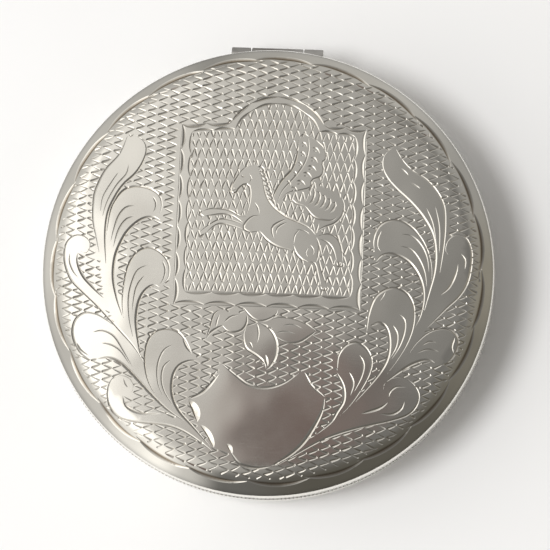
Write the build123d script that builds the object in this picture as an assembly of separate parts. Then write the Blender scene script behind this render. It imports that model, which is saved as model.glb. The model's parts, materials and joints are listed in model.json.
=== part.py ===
from build123d import *
import math
import os

# Round hinged pill box in sheet silver, in millimetres.
# The box rests on z = 0 with its centre on the Z axis. The hinge is at the back (+Y), the opening edge at the front (-Y).
# Base and lid are two pressed shells. Each is closed by a heavier rim ring, and the two rings meet at the seam.
# A collar soldered inside the base stands up into the lid and locates it. The hinge is a three-knuckle joint let into the rims.

# Driving dimensions
RIM_RADIUS = 26.0        # over both rim rings
WALL_RADIUS = 25.9       # outside of both pressed shells
SHEET = 0.7              # gauge of the pressed shells
SEAM_HEIGHT = 7.6        # height of the seam between base and lid
SEAM_GAP = 0.1           # open gap between the two rims
RIM_HEIGHT = 1.1         # height of each rim ring

# Lid shell
LID_SHOULDER_RADIUS = 4.0
LID_DOME_RADIUS = 160.0
LID_SHOULDER_RISE = 1.55  # from the seam to where the shoulder arc starts

# Base shell
BASE_SHOULDER_RADIUS = 4.0
FOOT_INNER_RADIUS = 20.6  # the flat the box stands on runs from here out to the shoulder
RECESS_RADIUS = 19.0
RECESS_DEPTH = 0.4

# Collar that locates the lid
COLLAR_SHEET = 0.6
COLLAR_DEPTH = 3.5       # below the seam
COLLAR_STAND = 1.9       # above the seam
COLLAR_STEP = 0.15       # filed off the outside above the seam, so that the lid slides over it
COLLAR_LEAD = 0.15       # chamfer on its top edge
LID_RIM_CLEARANCE = 0.1

# Gilt liner dish
LINER_SHEET = 0.4
LINER_OUTER_RADIUS = 24.5
LINER_FLOOR = 1.2        # height of its underside
LINER_CORNER_RADIUS = 3.0
LINER_TOP_BELOW_SEAM = 0.4

# Gilt lining of the lid and the ring that holds it
LINING_SHEET = 0.35
LINING_RADIUS = 24.95
LINING_EDGE_RISE = 2.35  # underside of the flat edge, above the seam
LINING_CROWN_RISE = 5.65  # underside at the centre, above the seam
LINING_DOME_RADIUS = 150.0
LINING_STEP_OUTER = 24.2
LINING_STEP_INNER = 22.0
RETAINER_OUTER_RADIUS = 25.1
RETAINER_WIDTH = 0.6
RETAINER_RISE = 2.0
RETAINER_HEIGHT = 0.3

# Hinge
HINGE_Y = 25.72
KNUCKLE_RADIUS = 0.88
PIN_RADIUS = 0.4
PIN_RUNNING_GAP = 0.03   # round the pin in the centre knuckle
GROOVE_CLEARANCE = 0.05  # round a knuckle that moves against the rim beside it
CENTRE_KNUCKLE_LENGTH = 6.04
OUTER_KNUCKLE_LENGTH = 2.25
KNUCKLE_GAP = 0.06
KNUCKLE_BEVEL = 0.08
PLUG_LENGTH = 0.5
PLUG_PROUD = 0.05
BEARER_HALF_WIDTH = 5.3
BEARER_INNER_RADIUS = 24.6
LID_BEARER_RISE = 1.95
BASE_BEARER_DEPTH = 1.6
COLLAR_CUT_HALF_WIDTH = 5.6

# Derived dimensions
INNER_RADIUS = WALL_RADIUS - SHEET
HALF_GAP = SEAM_GAP / 2
HINGE_HALF = CENTRE_KNUCKLE_LENGTH / 2 + KNUCKLE_GAP + OUTER_KNUCKLE_LENGTH
OUTER_KNUCKLE_X = CENTRE_KNUCKLE_LENGTH / 2 + KNUCKLE_GAP + OUTER_KNUCKLE_LENGTH / 2
SLOT_SIDE_GAP = 0.1      # past the hinge's ends in the rims
BASE_RIM_BOTTOM = SEAM_HEIGHT - HALF_GAP - RIM_HEIGHT
LID_RIM_TOP = SEAM_HEIGHT + HALF_GAP + RIM_HEIGHT


def on_circle(centre, radius, degrees):
    """A point at an angle on a circle in the section plane."""
    angle = math.radians(degrees)
    return (centre[0] + radius * math.cos(angle), centre[1] + radius * math.sin(angle))


def arc(centre, radius, start, end):
    """The circular arc between two angles, in the section plane."""
    angles = (start, (start + end) / 2, end)
    return ThreePointArc(*[on_circle(centre, radius, a) for a in angles])


def step_curve(outer, inner):
    """Two equal tangent arcs that step between two levels and are level at both ends."""
    run, rise = inner[0] - outer[0], inner[1] - outer[1]
    radius = (run**2 + rise**2) / (4 * abs(rise))
    middle = ((outer[0] + inner[0]) / 2, (outer[1] + inner[1]) / 2)
    up = math.copysign(1, rise)
    first_centre = (outer[0], outer[1] + up * radius)
    second_centre = (inner[0], inner[1] - up * radius)
    return [
        ThreePointArc(outer, toward(first_centre, outer, middle, radius), middle),
        ThreePointArc(middle, toward(second_centre, middle, inner, radius), inner),
    ]


def toward(centre, a, b, radius):
    """The point of a circle midway between two of its points."""
    x = (a[0] + b[0]) / 2 - centre[0]
    z = (a[1] + b[1]) / 2 - centre[1]
    length = math.hypot(x, z)
    return (centre[0] + radius * x / length, centre[1] + radius * z / length)


def lathe(edges):
    """Revolves a closed section (radius, height) about the Z axis."""
    section = make_face(edges)
    return revolve(Plane.XZ * section, Axis.Z)


def ring(inner, outer, bottom, top):
    """A plain ring of rectangular section."""
    outline = [(inner, bottom), (outer, bottom), (outer, top), (inner, top)]
    return lathe(Polyline(*outline, close=True).edges())


def rod_x(radius, x_centre, length):
    """A round bar along the hinge axis."""
    bar = Rotation(0, 90, 0) * Cylinder(radius, length)
    return Pos(x_centre, HINGE_Y, SEAM_HEIGHT) * bar


def hinge_slot(centre_radius, outer_radius):
    """The round seats for the three knuckles, as one cutter."""
    middle_length = CENTRE_KNUCKLE_LENGTH + 2 * KNUCKLE_GAP
    end_length = OUTER_KNUCKLE_LENGTH + SLOT_SIDE_GAP
    end_x = middle_length / 2 + end_length / 2
    cutter = rod_x(centre_radius, 0, middle_length)
    for side in (-1, 1):
        cutter += rod_x(outer_radius, side * end_x, end_length)
    return cutter


def lid_cover():
    """The pressed lid: a shallow dome, a round shoulder and a short upright wall."""
    start = SEAM_HEIGHT + LID_SHOULDER_RISE
    shoulder = (WALL_RADIUS - LID_SHOULDER_RADIUS, start)
    reach = LID_DOME_RADIUS - LID_SHOULDER_RADIUS
    dome = (0, start - math.sqrt(reach**2 - shoulder[0] ** 2))
    meet = math.degrees(math.atan2(start - dome[1], shoulder[0]))
    inner_shoulder = LID_SHOULDER_RADIUS - SHEET
    inner_dome = LID_DOME_RADIUS - SHEET
    edges = [
        Line((INNER_RADIUS, LID_RIM_TOP), (WALL_RADIUS, LID_RIM_TOP)),
        Line((WALL_RADIUS, LID_RIM_TOP), (WALL_RADIUS, start)),
        arc(shoulder, LID_SHOULDER_RADIUS, 0, meet),
        arc(dome, LID_DOME_RADIUS, meet, 90),
        Line((0, dome[1] + LID_DOME_RADIUS), (0, dome[1] + inner_dome)),
        arc(dome, inner_dome, 90, meet),
        arc(shoulder, inner_shoulder, meet, 0),
        Line((INNER_RADIUS, start), (INNER_RADIUS, LID_RIM_TOP)),
    ]
    return lathe(edges)


def rim_ring(inner, bottom, top, seam_edge_up):
    """A heavy rim ring with a rounded outer edge away from the seam and a small bevel at the seam."""
    round_edge, bevel = 0.25, 0.12
    far, near = (bottom, top) if seam_edge_up else (top, bottom)
    away = 1 if seam_edge_up else -1
    round_centre = (RIM_RADIUS - round_edge, far + away * round_edge)
    round_end = (RIM_RADIUS - round_edge, far)
    round_start = (RIM_RADIUS, far + away * round_edge)
    edges = [
        Line((inner, far), round_end),
        ThreePointArc(round_end, on_circle(round_centre, round_edge, -away * 45), round_start),
        Line(round_start, (RIM_RADIUS, near - away * bevel)),
        Line((RIM_RADIUS, near - away * bevel), (RIM_RADIUS - bevel, near)),
        Line((RIM_RADIUS - bevel, near), (inner, near)),
        Line((inner, near), (inner, far)),
    ]
    return lathe(edges)


def lid_rim():
    """The plain rim ring of the lid, cut away round the hinge knuckles."""
    inner = INNER_RADIUS - COLLAR_STEP + LID_RIM_CLEARANCE
    body = rim_ring(inner, SEAM_HEIGHT + HALF_GAP, LID_RIM_TOP, False)
    return body - hinge_slot(KNUCKLE_RADIUS, KNUCKLE_RADIUS + GROOVE_CLEARANCE)


def base_milled_rim():
    """The rim ring of the base. Its milled edge is finer than the model and left smooth here."""
    body = rim_ring(INNER_RADIUS, BASE_RIM_BOTTOM, SEAM_HEIGHT - HALF_GAP, True)
    return body - hinge_slot(KNUCKLE_RADIUS + GROOVE_CLEARANCE, KNUCKLE_RADIUS)


def base_pan():
    """The pressed base: a flat foot round a shallow recess, a round shoulder and an upright wall."""
    shoulder = (WALL_RADIUS - BASE_SHOULDER_RADIUS, BASE_SHOULDER_RADIUS)
    inner_shoulder = BASE_SHOULDER_RADIUS - SHEET
    floor = RECESS_DEPTH + SHEET
    edges = [
        Line((0, RECESS_DEPTH), (RECESS_RADIUS, RECESS_DEPTH)),
        *step_curve((RECESS_RADIUS, RECESS_DEPTH), (FOOT_INNER_RADIUS, 0)),
        Line((FOOT_INNER_RADIUS, 0), (shoulder[0], 0)),
        arc(shoulder, BASE_SHOULDER_RADIUS, -90, 0),
        Line((WALL_RADIUS, shoulder[1]), (WALL_RADIUS, BASE_RIM_BOTTOM)),
        Line((WALL_RADIUS, BASE_RIM_BOTTOM), (INNER_RADIUS, BASE_RIM_BOTTOM)),
        Line((INNER_RADIUS, BASE_RIM_BOTTOM), (INNER_RADIUS, shoulder[1])),
        arc(shoulder, inner_shoulder, 0, -90),
        Line((shoulder[0], SHEET), (FOOT_INNER_RADIUS, SHEET)),
        *step_curve((FOOT_INNER_RADIUS, SHEET), (RECESS_RADIUS, floor)),
        Line((RECESS_RADIUS, floor), (0, floor)),
        Line((0, floor), (0, RECESS_DEPTH)),
    ]
    return lathe(edges)


def base_collar():
    """The locating collar, open at the back where the hinge bearers sit."""
    outer, inner = INNER_RADIUS, INNER_RADIUS - COLLAR_SHEET
    filed = outer - COLLAR_STEP
    bottom, top = SEAM_HEIGHT - COLLAR_DEPTH, SEAM_HEIGHT + COLLAR_STAND
    step = SEAM_HEIGHT - HALF_GAP
    outline = [
        (inner, bottom),
        (outer, bottom),
        (outer, step),
        (filed, step),
        (filed, top - COLLAR_LEAD),
        (filed - COLLAR_LEAD, top),
        (inner, top),
    ]
    body = lathe(Polyline(*outline, close=True).edges())
    cut_bottom = SEAM_HEIGHT - BASE_BEARER_DEPTH
    cut_height = COLLAR_STAND + BASE_BEARER_DEPTH + 1
    opening = Box(2 * COLLAR_CUT_HALF_WIDTH, RIM_RADIUS, cut_height)
    return body - Pos(0, RIM_RADIUS, cut_bottom + cut_height / 2) * opening


def bearer(outer, bottom, top, cutter):
    """A curved block behind the hinge, cut to seat the knuckles."""
    body = ring(BEARER_INNER_RADIUS, outer, bottom, top)
    height = top - bottom
    keep = Box(2 * BEARER_HALF_WIDTH, RIM_RADIUS, height + 1)
    return (body & Pos(0, RIM_RADIUS, (bottom + top) / 2) * keep) - cutter


def lid_hinge_bearer():
    """Block inside the lid that backs up the centre knuckle."""
    cutter = hinge_slot(KNUCKLE_RADIUS, KNUCKLE_RADIUS + GROOVE_CLEARANCE)
    outer = INNER_RADIUS - COLLAR_STEP + LID_RIM_CLEARANCE
    return bearer(outer, SEAM_HEIGHT + HALF_GAP, SEAM_HEIGHT + LID_BEARER_RISE, cutter)


def base_hinge_bearer():
    """Block inside the base that backs up the two outer knuckles."""
    cutter = hinge_slot(KNUCKLE_RADIUS + GROOVE_CLEARANCE, KNUCKLE_RADIUS)
    return bearer(INNER_RADIUS, SEAM_HEIGHT - BASE_BEARER_DEPTH, SEAM_HEIGHT - HALF_GAP, cutter)


def base_liner():
    """The gilt dish that holds the pills: flat floor, round corner, upright wall."""
    corner = (LINER_OUTER_RADIUS - LINER_CORNER_RADIUS, LINER_FLOOR + LINER_CORNER_RADIUS)
    inner_corner = LINER_CORNER_RADIUS - LINER_SHEET
    inner = LINER_OUTER_RADIUS - LINER_SHEET
    top = SEAM_HEIGHT - LINER_TOP_BELOW_SEAM
    lip = (LINER_OUTER_RADIUS - LINER_SHEET / 2, top)
    floor = LINER_FLOOR + LINER_SHEET
    edges = [
        Line((0, LINER_FLOOR), (corner[0], LINER_FLOOR)),
        arc(corner, LINER_CORNER_RADIUS, -90, 0),
        Line((LINER_OUTER_RADIUS, corner[1]), (LINER_OUTER_RADIUS, top)),
        arc(lip, LINER_SHEET / 2, 0, 180),
        Line((inner, top), (inner, corner[1])),
        arc(corner, inner_corner, 0, -90),
        Line((corner[0], floor), (0, floor)),
        Line((0, floor), (0, LINER_FLOOR)),
    ]
    return lathe(edges)


def lid_lining():
    """The gilt lining of the lid: a shallow dome with a stepped, flat edge."""
    edge = SEAM_HEIGHT + LINING_EDGE_RISE
    crown = SEAM_HEIGHT + LINING_CROWN_RISE
    dome = (0, crown - LINING_DOME_RADIUS)
    step_top = dome[1] + math.sqrt(LINING_DOME_RADIUS**2 - LINING_STEP_INNER**2)
    meet = math.degrees(math.atan2(step_top - dome[1], LINING_STEP_INNER))
    under = [
        Line((LINING_RADIUS, edge), (LINING_STEP_OUTER, edge)),
        *step_curve((LINING_STEP_OUTER, edge), (LINING_STEP_INNER, step_top)),
        arc(dome, LINING_DOME_RADIUS, meet, 90),
    ]
    over = [e.moved(Location((0, LINING_SHEET, 0))) for e in under]
    sides = [
        Line((0, crown), (0, crown + LINING_SHEET)),
        Line((LINING_RADIUS, edge), (LINING_RADIUS, edge + LINING_SHEET)),
    ]
    return lathe(under + over + sides)


def lining_retainer():
    """The sprung ring that holds the lining up in the lid."""
    bottom = SEAM_HEIGHT + RETAINER_RISE
    inner = RETAINER_OUTER_RADIUS - RETAINER_WIDTH
    return ring(inner, RETAINER_OUTER_RADIUS, bottom, bottom + RETAINER_HEIGHT)


def knuckle(x_centre, length, bore_radius):
    """One tube of the hinge, with its end edges broken."""
    tube = Cylinder(KNUCKLE_RADIUS, length)
    ends = tube.edges().filter_by(GeomType.CIRCLE)
    tube = chamfer(ends, KNUCKLE_BEVEL) - Cylinder(bore_radius, length + 1)
    return Pos(x_centre, HINGE_Y, SEAM_HEIGHT) * (Rotation(0, 90, 0) * tube)


def hinge_pin():
    """The pin, held in the outer knuckles and free in the centre one."""
    return rod_x(PIN_RADIUS, 0, 2 * (HINGE_HALF - PLUG_LENGTH))


def pin_plug(side):
    """The short plug that closes one end of the hinge."""
    length = PLUG_LENGTH + PLUG_PROUD
    return rod_x(PIN_RADIUS, side * (HINGE_HALF + PLUG_PROUD - length / 2), length)


def main():
    outer_length = OUTER_KNUCKLE_LENGTH
    nodes = {
        "base_pan": base_pan(),
        "base_milled_rim": base_milled_rim(),
        "base_collar": base_collar(),
        "base_liner": base_liner(),
        "base_hinge_bearer": base_hinge_bearer(),
        "hinge_knuckle_left": knuckle(-OUTER_KNUCKLE_X, outer_length, PIN_RADIUS),
        "hinge_knuckle_right": knuckle(OUTER_KNUCKLE_X, outer_length, PIN_RADIUS),
        "hinge_pin": hinge_pin(),
        "pin_plug_left": pin_plug(-1),
        "pin_plug_right": pin_plug(1),
        "lid_cover": lid_cover(),
        "lid_rim": lid_rim(),
        "lid_lining": lid_lining(),
        "lining_retainer": lining_retainer(),
        "lid_hinge_bearer": lid_hinge_bearer(),
        "hinge_knuckle_centre": knuckle(0, CENTRE_KNUCKLE_LENGTH, PIN_RADIUS + PIN_RUNNING_GAP),
    }
    os.makedirs("parts", exist_ok=True)
    for name, shape in nodes.items():
        export_step(shape, f"parts/{name}.step")


main()
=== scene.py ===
"""A round hinged pill box in engraved silver: its finished pieces, finishes, light and camera.

Lengths are written in millimetres and become metres in the meshes (MM). Plan positions on the lid are (x, y)
with the hinge at +y, as in the CAD frame.
"""
import json
import math
import random

import bmesh
import bpy
import numpy as np
from mathutils import Matrix, Vector
from mathutils.geometry import delaunay_2d_cdt


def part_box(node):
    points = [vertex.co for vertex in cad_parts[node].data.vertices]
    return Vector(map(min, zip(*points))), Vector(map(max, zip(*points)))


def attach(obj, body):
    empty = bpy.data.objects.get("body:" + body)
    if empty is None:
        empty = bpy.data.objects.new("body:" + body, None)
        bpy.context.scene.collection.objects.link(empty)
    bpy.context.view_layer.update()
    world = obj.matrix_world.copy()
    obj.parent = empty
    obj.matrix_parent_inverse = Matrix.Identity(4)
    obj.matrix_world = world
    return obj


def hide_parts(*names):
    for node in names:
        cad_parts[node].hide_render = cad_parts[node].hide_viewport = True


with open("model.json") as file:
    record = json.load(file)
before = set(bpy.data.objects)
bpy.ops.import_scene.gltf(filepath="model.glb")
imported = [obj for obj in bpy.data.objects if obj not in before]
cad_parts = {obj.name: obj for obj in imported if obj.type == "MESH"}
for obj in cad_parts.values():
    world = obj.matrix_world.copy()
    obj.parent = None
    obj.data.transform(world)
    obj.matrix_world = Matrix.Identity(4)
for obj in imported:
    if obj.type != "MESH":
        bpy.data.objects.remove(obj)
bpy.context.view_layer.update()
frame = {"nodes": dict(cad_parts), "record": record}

MM = 0.001
rng = random.Random(7)


# ------------------------------------ sizes, read from the frame

def node_mm(node):
    """A CAD node's lowest and highest corners, in millimetres."""
    low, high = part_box(node)
    return [value / MM for value in low], [value / MM for value in high]


COVER_LOW, COVER_HIGH = node_mm("lid_cover")
WALL_RADIUS = COVER_HIGH[0]
LID_RIM_TOP = COVER_LOW[2]
LID_TOP = COVER_HIGH[2]
RIM_RADIUS = node_mm("lid_rim")[1][0]
LID_RIM_BOTTOM = node_mm("lid_rim")[0][2]
BASE_RIM_BOTTOM, BASE_RIM_TOP = node_mm("base_milled_rim")[0][2], node_mm("base_milled_rim")[1][2]
HINGE = frame["record"]["behaviour"]["joints"][0]["pos_m"]
HINGE_Y, HINGE_Z = HINGE[1] / MM, HINGE[2] / MM
CENTRE_LOW, CENTRE_HIGH = node_mm("hinge_knuckle_centre")
KNUCKLE_RADIUS = (CENTRE_HIGH[1] - CENTRE_LOW[1]) / 2
LEFT_LOW, LEFT_HIGH = node_mm("hinge_knuckle_left")
PIN_RADIUS = (node_mm("hinge_pin")[1][1] - node_mm("hinge_pin")[0][1]) / 2
PLUG_END = -node_mm("pin_plug_left")[0][0]
LINER_LOW, LINER_HIGH = node_mm("base_liner")
LINING_LOW, LINING_HIGH = node_mm("lid_lining")
RETAINER_LOW, RETAINER_HIGH = node_mm("lining_retainer")

SHEET = 0.7
DOME_RADIUS = 160.0
LID_SHOULDER = 4.0
BASE_SHOULDER = 4.0
FOOT_INNER, RECESS_RADIUS, RECESS_DEPTH = 20.6, 19.0, 0.4
GROOVE_CLEARANCE = 0.05

SHOULDER_AXIS_RADIUS = WALL_RADIUS - LID_SHOULDER
DOME_CENTRE = LID_TOP - DOME_RADIUS
SHOULDER_Z = DOME_CENTRE + math.sqrt((DOME_RADIUS - LID_SHOULDER) ** 2 - SHOULDER_AXIS_RADIUS**2)
MEET_ANGLE = math.atan2(SHOULDER_Z - DOME_CENTRE, SHOULDER_AXIS_RADIUS)
MEET_RADIUS = DOME_RADIUS * math.cos(MEET_ANGLE)

ENGRAVED_RADIUS = 25.1   # the engraved mesh ends here and the turned wall begins
LID_SEGMENTS = 360
GRAVER_SLOPE = 0.56      # depth of a cut for each unit of half width
BOLD = 1.25              # how much wider the outlines are cut than they were first drawn


# ------------------------------------ shader groups and finishes

def new_tree(name, kind, inputs, outputs):
    """A node tree with named sockets; returns it with its input and output nodes."""
    tree = bpy.data.node_groups.new(name, kind)
    for socket, holds, value in inputs:
        item = tree.interface.new_socket(socket, in_out="INPUT", socket_type="NodeSocket" + holds)
        if value is not None:
            item.default_value = value
    for socket, holds in outputs:
        tree.interface.new_socket(socket, in_out="OUTPUT", socket_type="NodeSocket" + holds)
    return tree, tree.nodes.new("NodeGroupInput"), tree.nodes.new("NodeGroupOutput")


def math_node(tree, operation, a, b=None, clamp=False):
    """A Math node fed by sockets or numbers; returns its output."""
    node = tree.nodes.new("ShaderNodeMath")
    node.operation = operation
    node.use_clamp = clamp
    for index, value in enumerate((a, b)):
        if isinstance(value, bpy.types.NodeSocket):
            tree.links.new(value, node.inputs[index])
        elif value is not None:
            node.inputs[index].default_value = value
    return node.outputs[0]


def noise_node(tree, vector, scale, detail=2.0, roughness=0.5):
    """A Noise Texture node; returns its factor output."""
    node = tree.nodes.new("ShaderNodeTexNoise")
    node.inputs["Scale"].default_value = scale
    node.inputs["Detail"].default_value = detail
    node.inputs["Roughness"].default_value = roughness
    tree.links.new(vector, node.inputs["Vector"])
    return node.outputs["Fac"]


def ramp_between(tree, value, low, high, out_low=0.0, out_high=1.0):
    """A smooth step of a value between two limits; returns its output."""
    node = tree.nodes.new("ShaderNodeMapRange")
    node.interpolation_type = "SMOOTHSTEP"
    tree.links.new(value, node.inputs["Value"])
    for socket, number in (("From Min", low), ("From Max", high), ("To Min", out_low), ("To Max", out_high)):
        node.inputs[socket].default_value = number
    return node.outputs["Result"]


def split_xyz(tree, vector):
    """The outputs X, Y and Z of a vector."""
    node = tree.nodes.new("ShaderNodeSeparateXYZ")
    tree.links.new(vector, node.inputs[0])
    return node.outputs


def object_mm(tree):
    """Object coordinates in millimetres."""
    coords = tree.nodes.new("ShaderNodeTexCoord")
    mapping = tree.nodes.new("ShaderNodeMapping")
    mapping.inputs["Scale"].default_value = (1 / MM, 1 / MM, 1 / MM)
    tree.links.new(coords.outputs["Object"], mapping.inputs["Vector"])
    return mapping.outputs["Vector"]


# the hairline scratches: direction in radians, stretch across it, and how much noise makes a line
HAIRLINES = ((0.45, 24.0, 0.64), (1.25, 19.0, 0.66), (2.3, 27.0, 0.67), (2.85, 31.0, 0.66))


def make_wear_group():
    """Hairline scratches and handling marks on polished metal."""
    group, given, out = new_tree(
        "handling_wear",
        "ShaderNodeTree",
        [("Scratches", "Float", 1.0), ("Smudges", "Float", 1.0), ("Base Roughness", "Float", 0.1)],
        [("Roughness", "Float"), ("Height", "Float")],
    )
    place = object_mm(group)
    lines = None
    for turn, stretch, threshold in HAIRLINES:
        mapping = group.nodes.new("ShaderNodeMapping")
        mapping.inputs["Rotation"].default_value = (0.35, 0.2, turn)
        mapping.inputs["Scale"].default_value = (0.4, stretch, 0.6)
        group.links.new(place, mapping.inputs["Vector"])
        streaks = noise_node(group, mapping.outputs["Vector"], 1.0, 1.0)
        line = ramp_between(group, streaks, threshold, threshold + 0.09)
        lines = line if lines is None else math_node(group, "MAXIMUM", lines, line)
    patches = ramp_between(group, noise_node(group, place, 0.16, 3.0, 0.6), 0.42, 0.62)
    broken = math_node(group, "MULTIPLY", lines, patches)
    smudge = ramp_between(group, noise_node(group, place, 0.11, 4.0, 0.62), 0.38, 0.72)
    dust = ramp_between(group, noise_node(group, place, 2.6, 2.0), 0.6, 0.8)
    scratched = math_node(group, "MULTIPLY", broken, given.outputs["Scratches"])
    rough = math_node(group, "MULTIPLY", scratched, 0.09)
    film = math_node(group, "MULTIPLY", smudge, given.outputs["Smudges"])
    rough = math_node(group, "ADD", rough, math_node(group, "MULTIPLY", film, 0.06))
    rough = math_node(group, "ADD", rough, math_node(group, "MULTIPLY", dust, 0.02))
    rough = math_node(group, "ADD", rough, given.outputs["Base Roughness"])
    height = math_node(group, "MULTIPLY", scratched, -1.0)
    group.links.new(rough, out.inputs["Roughness"])
    group.links.new(height, out.inputs["Height"])
    return group


def make_tarnish_group():
    """Grey-brown tarnish that gathers in blotches; puts out a colour. The amount given for cuts darkens them
    further, partly as tarnish and partly as painted shade.
    """
    group, given, out = new_tree(
        "tarnish",
        "ShaderNodeTree",
        [
            ("Clean", "Color", (0.9, 0.89, 0.87, 1)),
            ("Dull", "Color", (0.3, 0.25, 0.19, 1)),
            ("Amount", "Float", 0.2),
            ("Cut Dirt And Shade", "Float", 0.0),
        ],
        [("Color", "Color")],
    )
    place = object_mm(group)
    blotch = ramp_between(group, noise_node(group, place, 0.14, 5.0, 0.6), 0.42, 0.75)
    amount = math_node(group, "MULTIPLY", blotch, given.outputs["Amount"])
    amount = math_node(group, "ADD", amount, given.outputs["Cut Dirt And Shade"], clamp=True)
    mix = group.nodes.new("ShaderNodeMix")
    mix.data_type = "RGBA"
    group.links.new(amount, mix.inputs["Factor"])
    group.links.new(given.outputs["Clean"], mix.inputs["A"])
    group.links.new(given.outputs["Dull"], mix.inputs["B"])
    group.links.new(mix.outputs["Result"], out.inputs["Color"])
    return group


SCRATCH_DEPTH = 0.00000016   # metres
WEAR = make_wear_group()
TARNISH = make_tarnish_group()


def new_material(name):
    """A material, with its node tree and its shader."""
    material = bpy.data.materials.new(name)
    material.use_nodes = True
    return material, material.node_tree, material.node_tree.nodes["Principled BSDF"]


def placed_group(tree, group, values):
    """A shader group placed in a material with its own values."""
    node = tree.nodes.new("ShaderNodeGroup")
    node.node_tree = group
    for socket, value in values.items():
        node.inputs[socket].default_value = value
    return node


def metal(name, clean, dull, roughness, scratches, smudges, tarnish, cuts=None, cut_dirt_and_shade=0.4):
    """A worn polished metal. `cuts` names the attribute that says how far a point lies in a cut or hollow;
    there the colour is darkened towards the dull colour, partly as tarnish and partly as painted shade.
    """
    material, tree, shader = new_material(name)
    shader.inputs["Metallic"].default_value = 1.0
    wear = placed_group(tree, WEAR, {"Scratches": scratches, "Smudges": smudges, "Base Roughness": roughness})
    stain = placed_group(tree, TARNISH, {"Clean": (*clean, 1), "Dull": (*dull, 1), "Amount": tarnish})
    if cuts:
        depth = tree.nodes.new("ShaderNodeAttribute")
        depth.attribute_name = cuts
        # darker the deeper a point lies in a cut or hollow: partly tarnish, partly painted shade
        dirt_and_shade = ramp_between(tree, depth.outputs["Fac"], 0.25, 1.0, 0.0, cut_dirt_and_shade)
        deep_cut_dirt_and_shade = ramp_between(tree, depth.outputs["Fac"], 0.9, 2.0, 0.0, 0.5)
        tree.links.new(math_node(tree, "ADD", dirt_and_shade, deep_cut_dirt_and_shade), stain.inputs["Cut Dirt And Shade"])
    tree.links.new(stain.outputs["Color"], shader.inputs["Base Color"])
    tree.links.new(wear.outputs["Roughness"], shader.inputs["Roughness"])
    bump = tree.nodes.new("ShaderNodeBump")
    bump.inputs["Distance"].default_value = SCRATCH_DEPTH
    tree.links.new(wear.outputs["Height"], bump.inputs["Height"])
    tree.links.new(bump.outputs["Normal"], shader.inputs["Normal"])
    return material


SILVER = (0.92, 0.895, 0.83)
DULL_SILVER = (0.33, 0.27, 0.20)
# the near black of the milled hollows: grime and painted shade
GRIME_AND_SHADE = (0.12, 0.10, 0.08)
# name, clean colour, dull colour, roughness, scratches, smudges, tarnish
# the engraved lid: its cuts darken with depth, partly as tarnish and partly as painted shade
engraved_silver = metal("engraved_silver", SILVER, DULL_SILVER, 0.07, 1.0, 1.0, 0.10, cuts="cut_depth")
plain_silver = metal("plain_silver", SILVER, DULL_SILVER, 0.09, 1.4, 1.0, 0.14)
# the lid's rim: a darker, duller copy of the silver that dims its reflected edge line, partly tarnish and
# partly painted shade
rim_silver_shaded = metal("rim_silver_shaded", (0.80, 0.78, 0.72), DULL_SILVER, 0.16, 1.4, 1.2, 0.3)
# the milled rim: a darker silver, near black deep in its rib hollows, partly grime and partly painted shade
milled_silver_grime_and_shade = metal(
    "milled_silver_grime_and_shade", (0.72, 0.70, 0.65), GRIME_AND_SHADE, 0.2, 0.6, 1.2, 0.4, cuts="hollow", cut_dirt_and_shade=0.95
)
# the hinge: a darker, duller copy of the silver, its dark partly tarnish and partly painted shade
hinge_silver_shaded = metal("hinge_silver_shaded", (0.66, 0.645, 0.62), (0.20, 0.175, 0.15), 0.3, 1.6, 1.4, 0.7)
gilt = metal("gilt_silver", (0.95, 0.74, 0.40), (0.60, 0.40, 0.18), 0.2, 0.7, 1.2, 0.25)
pin_metal = metal("pin_metal", (0.56, 0.55, 0.53), (0.22, 0.19, 0.15), 0.28, 0.8, 1.0, 0.5)


# ------------------------------------ meshes made by geometry nodes

WELD = 0.000002   # points closer than this are one point, in metres


def in_scene(name, data):
    """A new object linked to the scene."""
    item = bpy.data.objects.new(name, data)
    bpy.context.scene.collection.objects.link(item)
    return item


def shaped_mesh(holder, name):
    """The plain mesh that an object's modifiers make of it. The object is removed."""
    graph = bpy.context.evaluated_depsgraph_get()
    mesh = bpy.data.meshes.new_from_object(holder.evaluated_get(graph), depsgraph=graph)
    bpy.data.objects.remove(holder)
    mesh.name = name
    return mesh


def finish_tree(tree, given, out, geometry):
    """Ends a tree in Realize Instances and Set Material."""
    real = tree.nodes.new("GeometryNodeRealizeInstances")
    paint = tree.nodes.new("GeometryNodeSetMaterial")
    tree.links.new(geometry, real.inputs[0])
    tree.links.new(real.outputs[0], paint.inputs["Geometry"])
    tree.links.new(given.outputs["Material"], paint.inputs["Material"])
    tree.links.new(paint.outputs[0], out.inputs[0])


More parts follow.
